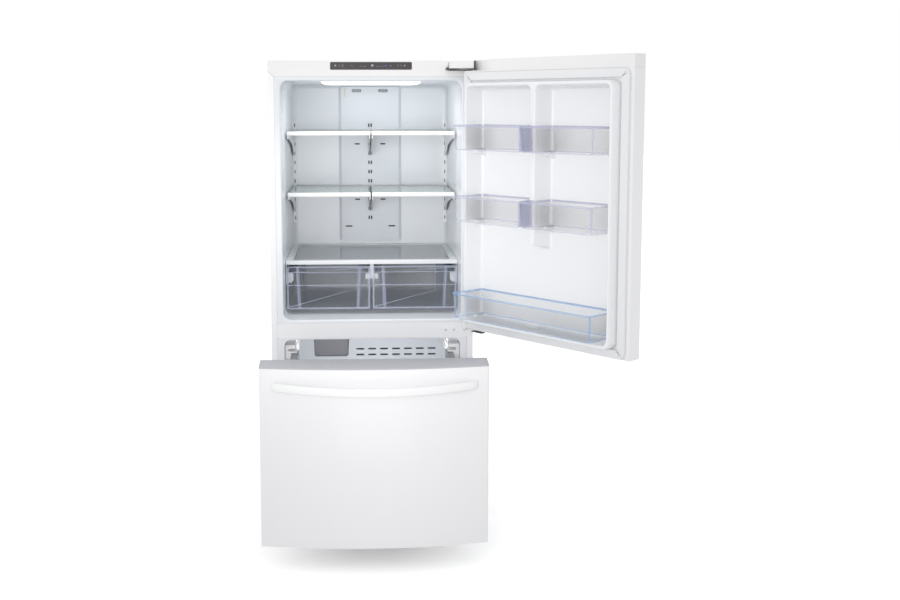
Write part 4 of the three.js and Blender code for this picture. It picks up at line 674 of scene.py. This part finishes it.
# ------------ handles and gaskets
BAR_DEEP, BAR_TALL = 17.6, 28.4  # section of the handles' bars
DOOR_HANDLE_X = -300


def handle_path(span, reach, surface):
    """Line of a bow handle about its middle: a flat arch that turns into the front at both ends."""
    legs = span / 2 - 9
    turn_at = 0.92  # of the way from the middle to a leg

    def arch(f):
        return Vector((legs * f, surface - 8 - reach * (1 - f * f), 0))

    run = [arch(turn_at * (i / 30 - 1)) for i in range(61)]
    lean = (arch(turn_at) - arch(turn_at - 0.02)).normalized()
    a, d = run[-1], Vector((legs, surface + 3, 0))
    b, c = a + lean * legs * 0.055, d - Vector((0, 9, 0))
    turn = [a * (1 - t)**3 + b * 3 * t * (1 - t)**2 + c * 3 * t * t * (1 - t) + d * t**3
            for t in [i / 14 for i in range(1, 15)]]
    mirror = [Vector((-p.x, p.y, 0)) for p in reversed(turn)]
    return [*mirror, *run, *turn]


def squircle(power=2.5, count=32):
    """An outline one unit across, between a circle and a square."""
    out = []
    for i in range(count):
        a = 2 * math.pi * (i + 0.5) / count
        out.append([0.5 * math.copysign(abs(f)**(2 / power), f) for f in (math.cos(a), math.sin(a))])
    return out


def bow_handle(node, span, reach, surface, place):
    bar = swept(handle_path(span, reach, surface), squircle(), HANDLE_PLASTIC, width=BAR_DEEP,
                height=BAR_TALL)
    bar.transform(place)
    stand(node + "_form", bar, [HANDLE_PLASTIC], node, crisp=60)


def gasket(node, half_x, z0, z1, width):
    """Bellows gasket: a dart against the liner, a fold and a flat magnet face."""
    h = width / 2
    side = [(0, 4.4), (0, 0.2), (3.2, -1.4), (3, -2.6), (0, -4.6)]  # in from the edge, and across
    section = [(-h + 1, -5.7), (h - 1, -5.7), *[(h - u, v) for u, v in reversed(side)], (h - 1, 5.6),
               (-h + 1, 5.6), *[(u - h, v) for u, v in side]]
    path = rounded(-half_x + h, half_x - h, z0 + h, z1 - h, 8)
    mesh = upright(swept(path, section, SEAL, True))
    mesh.transform(Matrix.Translation((0, -6, 0)))
    stand(node + "_form", mesh, [SEAL], node, crisp=50, edge=0.4)


bow_handle("drawer_handle", 682, 93.2, bowed(331, DRAWER_EDGE), Matrix.Translation((1, 0, 624.3)))
bow_handle("door_handle", 680, 57, bowed(DOOR_HANDLE_X, DOOR_EDGE),
           Matrix.Translation((DOOR_HANDLE_X, 0, 1112)) @ Matrix.Rotation(math.radians(-90), 4, "Y"))
gasket("door_gasket", 365.3, 712.5, 1653, 29)
gasket("drawer_gasket", 365.3, 91.5, 683.7, 24)


# ------------ door liner and bins
# sections from an outline inwards: distance in, and height off the back plane
RIM = [(-40, 0), (-0.5, 0), (0.3, 6), (1.1, 38), (1.7, 44), (2.6, 46.8), (4.2, 48), (400, 48)]
POCKET = [(-40, 0), (-1.2, 0), (-0.2, 0.8), (0.8, 4.5), (2, 14), (6, 58), (7.6, 68), (10, 74),
          (14, 77.2), (19, 78), (400, 78)]
# outlines: x0, x1, z0, z1, corner radius
RIM_OUTLINE = (-329, 329, 743, 1616, 24)
TALL_POCKETS = [(14, 320, 757, 1603, 20), (-319, -7, 757, 1603, 20)]
LOW_POCKET = (-319, 320, 757, 1056, 30)


def blend(a, b, k):
    """The larger of two depths, run together over k."""
    return max(a, b) + max(k - abs(a - b), 0)**2 / (4 * k)


def door_liner():
    def depth(x, z):
        left, right = (inside(x, z, *outline) for outline in TALL_POCKETS)
        pocket = blend(blend(left, right, 3), inside(x, z, *LOW_POCKET), 9)
        return BACK_PLANE + height_of(RIM, inside(x, z, *RIM_OUTLINE)) - height_of(POCKET, pocket)

    shape = Shape()
    xs = ruled(-377.6, 377.6, (-324, -313, -12, 19, 314, 324), 1.2)
    zs = ruled(710.6, 1653.8, (748, 762, 1052, 1597, 1611), 1.3)
    shape.sheet(xs[::-1], zs, depth)
    stand("door_liner_form", shape.mesh(), [DOOR_LINER], "door_liner", crisp=70, wall=1.0)


LEFT_BIN, RIGHT_BIN = (4, 318, 20, 8), (-305, 0, 0, 19)  # ends, and how much each is narrower behind
BINS = [  # node, floor, height and the above
    ("door_bin_upper_left", 1377, 89, *LEFT_BIN), ("door_bin_upper_right", 1377, 89, *RIGHT_BIN),
    ("door_bin_middle_left", 1122, 91, *LEFT_BIN), ("door_bin_middle_right", 1122, 91, *RIGHT_BIN),
    ("door_bin_lower", 772, 92, -305, 318, 0, 8),
]
BIN_REAR, BIN_STEP, BIN_FRONT, BIN_CORNER = -40, 40, 94, 12


def bin_end(end, side, narrow, inset):
    """Outline of a bin's end, from its rear round its front corner."""
    g, t = inset  # thickness left outside, and the wall's lean at this height
    out = [(end - side * (narrow + g + t), BIN_REAR + g)]
    if narrow:
        out += [(end - side * (narrow + g + t), BIN_STEP), (end - side * (g + t), BIN_STEP + 3 + g)]
    for i in range(9):
        a = math.pi / 2 * i / 8
        out.append((end - side * (g + t + BIN_CORNER * (1 - math.cos(a))),
                    BIN_FRONT - t - g + BIN_CORNER * math.sin(a)))
    return out


def door_bins():
    """The bins, and the lugs on the liner that they sit on."""
    lugs = Shape()
    lug = [(-43, -24.3), (-16, -12.3), (-2, -9.3), (-2, -0.3), (-43, -0.3)]  # under a bin's floor
    for node, z, high, x0, x1, narrow0, narrow1 in BINS:
        top = z + high
        rings = [((0, 5), z), ((0, 4.8), z + 3.4), ((0, 0.4), top - 7), ((-1.2, 0), top - 5),
                 ((-1.2, 0), top - 0.6), ((-0.6, 0), top), ((1.6, 0), top), ((2.2, 0), top - 0.6),
                 ((2.2, 5), z + 2.6)]
        loops = [[(x, y, height) for x, y in [*bin_end(x1, 1, narrow1, inset),
                                              *reversed(bin_end(x0, -1, narrow0, inset))]]
                 for inset, height in rings]
        shape = Shape()
        inner_end = next((x for x in (x0, x1) if abs(x) < 10), None)
        for i, face in enumerate(shape.skin(loops)[:-2]):
            at = face.calc_center_median()
            wall = i // len(loops[0]) in (1, 7)  # the outer and the inner face; the rest is the rim
            corner = min(at.x - x0, x1 - at.x) < 6 and at.y > BIN_FRONT - 2
            shared = inner_end is not None and abs(at.x - inner_end) < 5
            if not wall or corner or shared:
                face.material_index = 1
        deep = node == "door_bin_lower"
        stand(node + "_form", shape.solid(),
              [DEEP_BIN_PLASTIC, DEEP_BIN_EDGE] if deep else [BIN_PLASTIC, BIN_EDGE], node, crisp=50,
              edge=0.9, edge_finish=1)
        for a, b in ((x1 - narrow1 - 16, x1 - narrow1 + (4 if "right" in node else 6)),
                     (x0 + narrow0 - 12, x0 + narrow0 + 16)):
            lugs.plate("x", a, b, [(y, z + down) for y, down in lug])
    stand("bin_lugs", lugs.solid(), [DOOR_LINER], "door_liner", extra=True, edge=1.4, rows=3)


door_liner()
door_bins()


# ------------ fresh-food compartment
FLANGE = (-355.2, 355.2, 724.3, 1639.7, 3)  # outer edge of the liner, and its corner radius
COVER_FACE, COVER_SEAT = 640, 649.7  # planes of the covers on the rear wall
BEHIND = 2  # the cups of painted shade stand this far behind a face
DUCT_SIDE, TRACK_X = 132.5, 320.5


def fresh_liner():
    """Liner with a rolled mouth and a rounded rear wall."""
    roll, rear_roll = 6, 20

    def ring(grow, y, radius=26):
        draft = 2 * max(y, 0) / FRESH_BACK
        return [(x, y, z) for x, z in rounded(-MOUTH - grow + draft, MOUTH + grow - draft,
                                              FRESH_LOW - grow + draft, FRESH_HIGH + grow - draft,
                                              radius)]

    turns = [math.radians(15 * i) for i in range(7)]
    loops = [[(x, 0.4, z) for x, z in rounded(*FLANGE)]]
    loops += [ring(roll * (1 - math.sin(a)), 0.4 + roll * (1 - math.cos(a)), 32 - roll * math.sin(a))
              for a in turns]
    loops += [ring(-rear_roll * (1 - math.cos(a)), FRESH_BACK - rear_roll * (1 - math.sin(a)))
              for a in turns]
    shape = Shape()
    faces = shape.skin(loops, (False, True))
    faces[-1].normal_update()
    if faces[-1].normal.y > 0:
        bmesh.ops.reverse_faces(shape.bm, faces=shape.bm.faces[:])
    stand("fresh_food_liner_form", shape.mesh(), [CABINET_LINER], "fresh_food_liner", crisp=50, wall=1.4)
    # raised channels above the shelf tracks
    rails = Shape()
    for side in (-1, 1):
        for u, v in ((309, 312.5), (328, 331)):
            x0, x1 = sorted((side * u, side * v))
            rails.plate("y", 647.2, 651, rounded(x0, x1, 1478, 1609, 1.6, 4))
    stand("liner_channels", rails.solid(), [CABINET_LINER], "fresh_food_liner", extra=True, edge=1.2,
          rows=3)


def pill(u, v, long, tall, steps=6):
    return rounded(u - long / 2, u + long / 2, v - tall / 2, v + tall / 2, min(long, tall) / 2 - 0.05,
                   steps)


def pressed_cover(name, node, x, z, face, seat, lean, depth, corner, holes, finish):
    """A cover of sheet or moulding: a face with holes, and leaning sides back to its seat."""
    (x0, x1), (z0, z1) = x, z
    shape = Shape()
    shape.plate("y", face, face + 2, rounded(x0 + lean, x1 - lean, z0, z1, corner), holes)

    def ring(dx, dz, y):
        return [(u, y, v) for u, v in rounded(x0 + dx, x1 - dx, z0 + dz, z1 - dz, corner)]

    loops = [ring(lean, 0, face), ring(0, 0, face + depth), ring(0, 0, seat), ring(2, 2, seat),
             ring(2, 2, face + depth + 0.6), ring(lean + 1.6, 1.6, face + 2)]
    shape.skin([*loops, loops[0]], (False, False))
    shape.weld()
    stand(name, shape.solid(), [finish], node, crisp=24, edge=0.35)


def cups(name, places, long, tall, depth, finish, node="air_duct_cover"):
    """Painted shade: cups that stand behind slots and outlets, dark or grey where their shaded insides
    would be.
    """
    def ring(grow, y):
        return [(u, y, v) for u, v in pill(0, 0, long + grow, tall + grow, 4)]

    shape = Shape()
    shape.skin([ring(1.4, 0), ring(1.4, depth), ring(0.4, depth - 0.4), ring(0.4, 0), ring(1.4, 0)],
               (False, False))
    shape.skin([ring(0.6, depth - 0.8), ring(0.6, depth - 0.4)])
    shape.weld()
    stand(name, repeated(places, shape.solid(), finish), [finish], node, extra=True, crisp=40)


def back_wall():
    slots = [1450.9 - 39.4 * i for i in range(11)]
    columns = [pill(x, z, 6, 16) for x in (-5, 5) for z in slots]
    outlets = [(s * 56, 1597, 41, 14) for s in (-1, 1)]
    vents = [(s * 54.5, z, 22, 6) for s in (-1, 1) for z in (1372.1, 1135.4)]
    low = [(s * 92, 1020, 30, 6) for s in (-1, 1)]
    pressed_cover("air_duct_form", "air_duct_cover", (-DUCT_SIDE, DUCT_SIDE), (960, 1612), COVER_FACE,
                  COVER_SEAT, 11, 7, 3, [*columns, *[pill(*h) for h in [*outlets, *vents, *low]]],
                  DUCT_PLASTIC)
    for node, x in (("shelf_track_left", -TRACK_X), ("shelf_track_right", TRACK_X)):
        pressed_cover(node + "_form", node, (x - 9, x + 9), (1036.9, 1464.9), COVER_FACE, COVER_SEAT,
                      1, 1, 0.8, [pill(x, z, 6, 16) for z in slots], WHITE_ENAMEL)
    behind = COVER_FACE + BEHIND
    # painted shade in the slots of the tracks and the duct
    cups("track_slot_cups", [(x, behind, z) for x in (-TRACK_X, -5, 5, TRACK_X) for z in slots],
         6, 16, 6, SHADOW_GREY, "shelf_track_left")
    # cups of painted shade: dark in the vents, mid grey in the outlets
    for name, holes, finish in (("duct_vent_cups", vents, SHADOW_GREY),
                                ("duct_low_vent_cups", low, SHADOW_GREY),
                                ("duct_outlet_cups", outlets, VENT_SHADE_GREY)):
        cups(name, [(x, behind, z) for x, z, _, _ in holes], *holes[0][2:], 6, finish)
    # grille bars across the two outlets
    bar = Shape()
    bar.plate("y", -1, 0.6, pill(0, 0, 1.4, 13.4, 4))
    grille = repeated([(x + 6 * i, behind, z) for x, z, _, _ in outlets for i in range(-2, 3)],
                      bar.solid(), DUCT_PLASTIC)
    stand("outlet_grille", grille, [DUCT_PLASTIC], "air_duct_cover", extra=True)
    # a round sensor with its nose, a square cover, and an upright clip
    knobs = Shape()
    for outline, proud in ((disc(-12, 1592, 8), 6), (rounded(-20, -3, 1464, 1481, 3), 5),
                           (disc(-12, 1592, 3.5), 7.5)):
        knobs.plate("y", COVER_FACE - proud, COVER_FACE + 0.5, outline)
    stand("sensor_covers", knobs.solid(), [COVER_PLASTIC], "air_duct_cover", extra=True, edge=1.2,
          rows=3)
    clip = Shape()
    clip.plate("y", COVER_FACE - 6, COVER_FACE + 0.5, rounded(-108, -102, 1570, 1608, 2.5, 5))
    stand("upright_clip", clip.solid(), [IVORY_PLASTIC], "air_duct_cover", extra=True, edge=1, rows=3)


def ceiling_lamp():
    """A shallow pillow of a diffuser under the ceiling."""
    shape = Shape()
    shape.skin([[(x, y, z) for x, y in rounded(-186 + inset, 186 - inset, 62 + inset, 186 - inset,
                                               max(20 - inset * 0.3, 8))]
                for inset, z in ((0, 1622.0), (0, 1619.5), (0.6, 1618.4), (2.4, 1617), (6, 1615.2),
                                 (12, 1613.4), (20, 1612.1), (32, 1611.3), (48, 1611.0))])
    stand("ceiling_lamp_form", shape.solid(), [LAMP_LENS], "ceiling_lamp_cover", crisp=50)


fresh_liner()
back_wall()
ceiling_lamp()


# ------------ freezer compartment
FREEZER_FACE, FREEZER_SEAT = 560, 569.8  # planes of the evaporator's cover


def smoothed(points, radius):
    """A closed outline with its corners rounded."""
    out = []
    for i, at in enumerate(points):
        out += eased([points[i - 1], at, points[(i + 1) % len(points)]], [radius], 5)[1:-1]
    return out


def freezer_wall():
    """The evaporator's cover with its slots, and the dark recess in it."""
    x0, x1, top, low = -250, -89, 640, 469  # the recess, narrower by 9 at each side of its foot
    recess = smoothed([(x1, top), (x0, top), (x0 + 9, low), (x1 - 9, low)], 9)
    places = [(-47 + 51 * i, 500.7 - 25.2 * j) for j in range(4) for i in range(7)]
    pressed_cover("evaporator_cover_form", "evaporator_cover", (-329.5, 329.5), (345.5, 661.5),
                  FREEZER_FACE, FREEZER_SEAT, 2, 2, 22,
                  [*[pill(x, z, 34, 7) for x, z in places], [tuple(p) for p in recess]],
                  FREEZER_PLASTIC)
    # painted shade in the cover's slots
    cups("evaporator_slot_cups", [(x, FREEZER_FACE + BEHIND, z) for x, z in places], 34, 7, 7,
         SHADOW_GREY, "evaporator_cover")
    middle = Vector(((x0 + x1) / 2, (top + low) / 2))

    def ring(k, y):
        return [(u, FREEZER_FACE + y, v) for u, v in [middle + (p - middle) * k for p in recess]]

    cup = Shape()
    cup.skin([ring(1.02, 1.8), ring(1.02, 16), ring(0.97, 15), ring(1.0, 1.8), ring(1.02, 1.8)],
             (False, False))
    cup.skin([ring(0.98, 14.4), ring(0.98, 15.6)])
    cup.weld()
    stand("duct_recess", cup.solid(), [RECESS_PLASTIC], "evaporator_cover", extra=True)


def coil():
    """Fins set out along two rows of tube that run to and fro."""
    fin = Shape()
    fin.plate("x", -0.2, 0.2, rounded(586, 628, 347, 534, 3, 4))
    whole = Shape()
    whole.bm.from_mesh(repeated([(-256 + 6.4 * i, 0, 0) for i in range(81)], fin.solid(), FIN_STOCK))
    for first, y in ((1, 597), (-1, 617)):
        path = []
        for i in range(5):
            end = 252 * first * (-1)**i
            path += [Vector((x, 366 + 37 * i, 0)) for x in (end, -end)]
        line = [tuple(p) for p in eased(path, [18] * 8, 6)]
        tube = upright(swept(line, disc(0, 0, 4, 12), FIN_STOCK))
        tube.transform(Matrix.Translation((0, y, 0)))
        whole.bm.from_mesh(tube)
    stand("coil_form", whole.mesh(), [FIN_STOCK], "evaporator_coil", crisp=40)


freezer_wall()
coil()


# ------------ small things in rows
def screws(name, places, outwards, radius, high, node):
    """Pan heads at places, standing off the surface."""
    head = Shape()
    head.skin([[(x, y, z * high) for x, y in disc(0, 0, radius * r, 20)]
               for r, z in ((0.98, 0), (1, 0.3), (0.9, 0.65), (0.66, 0.9), (0.4, 1))])
    mesh = head.solid()
    mesh.transform(Vector((0, 0, 1)).rotation_difference(Vector(outwards)).to_matrix().to_4x4())
    stand(name, repeated(places, mesh, SCREW_STEEL), [SCREW_STEEL], node, extra=True, crisp=40)


screws("centre_hinge_screws", [(x, -3.4, 695) for x in (276, 306, 346)], (0, -1, 0), 4, 2,
       "centre_hinge")
screws("evaporator_cover_screws", [(x, FREEZER_FACE, z) for x in (-300, 300) for z in (380, 630)],
       (0, -1, 0), 4.5, 1.8, "evaporator_cover")
screws("machine_cover_screws", [(x, 708, z) for x in (-366, 366) for z in (60, 165, 280)]
       + [(x, 708, 286) for x in (-180, 0, 180)], (0, 1, 0), 4.5, 1.9, "machine_cover")


def panel_marks():
    """Small generic marks printed on the control window, without words."""
    outlines = {
        "ring": [disc(0, 0, 2.6, 20), disc(0, 0, 1.7, 20)[::-1]],
        "dot": [disc(0, 0, 1.1, 12)],
        "dash": [rounded(-3.2, 3.2, -0.7, 0.7, 0.6, 3)],
        "bar": [rounded(-0.7, 0.7, -3.4, 3.4, 0.6, 3)],
    }
    for name, kind, places, size, finish in (
            ("panel_rings", "ring", [(-131, 1680), (122, 1680)], 1.0, PANEL_MARK),
            ("panel_centre_ring", "ring", [(4, 1680)], 1.5, PANEL_MARK),
            ("panel_dots", "dot", [(x, 1677) for x in (-41, -35.5, -30, 30, 37, 45)], 1.0, PANEL_DIM),
            ("panel_dashes", "dash", [(-104.7, 1682.5), (-104.7, 1677), (-71, 1679), (71.4, 1679),
                                      (-22, 1677), (22.7, 1677)], 1.0, PANEL_DIM),
            ("panel_bars", "bar", [(-117.5, 1680), (97.7, 1680), (109, 1680)], 1.0, PANEL_DIM),
            ("panel_light", "dot", [(52.7, 1679.5)], 1.3, PANEL_BLUE)):
        outline, *holes = outlines[kind]
        mark = Shape()
        mark.plate("y", 0, 0.3, outline, holes)
        mesh = repeated([(x, -0.55, z) for x, z in places], mark.solid(), finish, size)
        stand(name, mesh, [finish], "control_panel", extra=True)


def corner_seams():
    """Fine lines where the header and the sides of the case meet at the front."""
    shape = Shape()
    for s in (-1, 1):
        for a, b in (((377, 1661), (355.5, 1639.5)), ((355.6, 1639), (355.6, 745))):
            a, b = Vector(a), Vector(b)
            across = (b - a).orthogonal().normalized() * 0.45
            corners = [a - across, a + across, b + across, b - across]
            shape.plate("y", -0.25, 0.4, [(s * p.x, p.y) for p in corners])
    stand("corner_seams", shape.solid(), [GREY_CAP], "outer_case", extra=True)


panel_marks()
corner_seams()


# ------------ pieces that keep their CAD form
def sides(*stems):
    return [stem + side for stem in stems for side in ("_left", "_right")]


CLEAR_CRISPER = [CRISPER_PLASTIC, CRISPER_EDGE]
# edge radius, rows of its rounding, and whether flat faces are joined first
THIN, SOFT, AS_DRAWN = (0.6, 2, True), (1.4, 3, True), (0, 1, False)
for nodes, finishes, rounding in (
        (["outer_case"], [WHITE_ENAMEL], THIN), (["top_header"], [WHITE_PLASTIC], SOFT),
        (["freezer_liner"], [CABINET_LINER], (2.0, 3, True)),
        (sides("shelf_frame_upper", "shelf_frame_lower"), [WHITE_PLASTIC], SOFT),
        (sides("shelf_glass_upper", "shelf_glass_lower"), [SHELF_GLASS], THIN),
        (["crisper_cover_frame"], [COVER_PLASTIC], (1.2, 3, True)),
        (["crisper_cover_glass"], [COVER_GLASS], THIN),
        (sides("crisper_drawer"), CLEAR_CRISPER, (0.9, 2, False)),
        (sides("freezer_rail"), [WHITE_PLASTIC], (1.2, 3, True)),
        (["top_hinge"], [DARK_STEEL], THIN), (["top_hinge_cover"], [WHITE_PLASTIC], (1.6, 3, True)),
        (["centre_hinge"], [WHITE_ENAMEL], THIN), (["control_panel"], [SMOKED_WINDOW], THIN),
        (["machine_cover", "base_pan", "back_panel"], [ZINC_STEEL], AS_DRAWN),
        (["compressor"], [BLACK_PAINT], AS_DRAWN),
        (sides("levelling_foot"), [ZINC_STEEL], (0.5, 2, False)),
        (sides("rear_roller"), [DARK_PLASTIC], (0.8, 2, False)),
        (["evaporator_fan", "machine_fan"], [DARK_PLASTIC], AS_DRAWN),
        (["door_top_cap"], [WHITE_PLASTIC], SOFT), (["door_stop"], [DARK_STEEL], THIN),
        (["drawer_liner"], [DOOR_LINER], (2.2, 3, True)),
        (["drawer_slide_frame"], [ZINC_STEEL], (0.5, 2, True)),
        (["freezer_basket"], [WHITE_PLASTIC], (0.5, 2, False)),
        (["freezer_tray"], CLEAR_CRISPER, (0.8, 2, False))):
    for node in nodes:
        softened(node, finishes, *rounding)
for node in ("cabinet_foam", "door_foam", "drawer_foam"):
    softened(node, [FOAM], *AS_DRAWN, shrink=1.2)


# ------------ camera
def set_camera():
    """The photograph's view, from a pinhole camera fitted to the cabinet's edges."""
    lens = bpy.data.cameras.new("camera")
    lens.sensor_width = 36
    lens.lens = 1110.2 * 36 / 900  # 1110.2 pixels in a picture 900 wide
    lens.shift_x = 0.0479
    lens.shift_y = -0.08
    lens.clip_end = 60
    camera = bpy.data.objects.new("camera", lens)
    bpy.context.scene.collection.objects.link(camera)
    pan, tilt, roll = -0.0419, 0.1103, -0.0015
    turn = (Matrix.Rotation(pan, 4, "Z") @ Matrix.Rotation(math.pi / 2 - tilt, 4, "X")
            @ Matrix.Rotation(roll, 4, "Z"))
    camera.matrix_world = Matrix.Translation(CABINET @ Vector((-42.2, -4105, 1536.1))) @ turn
    bpy.context.scene.camera = camera


# ------------ floor, light
AMBIENT = 0.84  # the world's light, where it isn't seen itself


def grey(k):
    return (k, k, k, 1)


def seen_or_hidden(tree, seen, hidden, out):
    """Shows the first shader to the camera, to mirrors and through clear panes, so that they have a
    white background, and lights the object with the second."""
    rays = tree.nodes.new("ShaderNodeLightPath").outputs
    factor = add_math(tree, "MAXIMUM", rays["Is Camera Ray"], rays["Is Glossy Ray"])
    factor = add_math(tree, "MAXIMUM", factor, rays["Is Transmission Ray"])
    mix = tree.nodes.new("ShaderNodeMixShader")
    for socket, source in zip(mix.inputs, (factor, hidden, seen)):
        feed(tree, socket, source)
    feed(tree, out.inputs["Surface"], mix.outputs[0])


def set_stage():
    reach = 30
    floor = bpy.data.meshes.new("floor")
    floor.from_pydata([(-reach, -reach, 0), (reach, -reach, 0), (reach, reach, 0), (-reach, reach, 0)],
                      [], [(0, 1, 2, 3)])
    plane = held(floor, "floor")
    f = Finish("white studio floor", grey(0.6), 0.5)
    # the seen floor is lighter than white, so that it is white in this light and keeps the shadow
    seen = f.tree.nodes.new("ShaderNodeAddShader")
    feed(f.tree, seen.inputs[0], f.add("Emission", Color=grey(1), Strength=0.03))
    feed(f.tree, seen.inputs[1], f.add("BsdfDiffuse", Color=grey(1.4)))
    seen_or_hidden(f.tree, seen.outputs[0], f.add("BsdfDiffuse", Color=grey(0.8)), f.out)
    floor.materials.append(f.material)

    world = bpy.data.worlds.new("studio")
    bpy.context.scene.world = world
    world.use_nodes = True
    tree = world.node_tree
    tree.nodes.clear()
    white, ambient = (add_node(tree, "ShaderNodeBackground", Color=grey(1), Strength=k)
                      for k in (1.0, AMBIENT))
    seen_or_hidden(tree, white, ambient, tree.nodes.new("ShaderNodeOutputWorld"))


def area_lamp(name, at, toward, size, watts, spread=180):
    lamp = bpy.data.lights.new(name, "AREA")
    lamp.shape = "RECTANGLE"
    lamp.size, lamp.size_y = size
    lamp.energy = watts
    lamp.spread = math.radians(spread)
    made = bpy.data.objects.new(name, lamp)
    bpy.context.scene.collection.objects.link(made)
    made.location = CABINET @ Vector(at)
    aim = CABINET @ Vector(toward) - made.location
    made.rotation_euler = aim.to_track_quat("-Z", "Y").to_euler()
    made.visible_camera = False


set_camera()
set_stage()
area_lamp("front softbox", (-150, -3600, 1700), (100, 0, 1100), (1.6, 1.8), 1.35)
area_lamp("upper softbox", (-1100, -3300, 1500), (420, 0, 1320), (1.2, 0.9), 2.45, 52)
area_lamp("drawer glow", (10, -1080, 440), (10, -560, 400), (0.4, 0.4), 0.24)
area_lamp("compartment lamp", (0, 130, 1606), (0, 260, 1100), (0.34, 0.1), 2.0)
area_lamp("compartment fill", (-60, -1500, 1080), (0, 600, 1040), (0.8, 0.6), 0.58, 56)
area_lamp("freezer lamp", (0, 80, 640), (0, 560, 540), (0.5, 0.05), 0.9)

bpy.context.scene.view_settings.view_transform = "Standard"
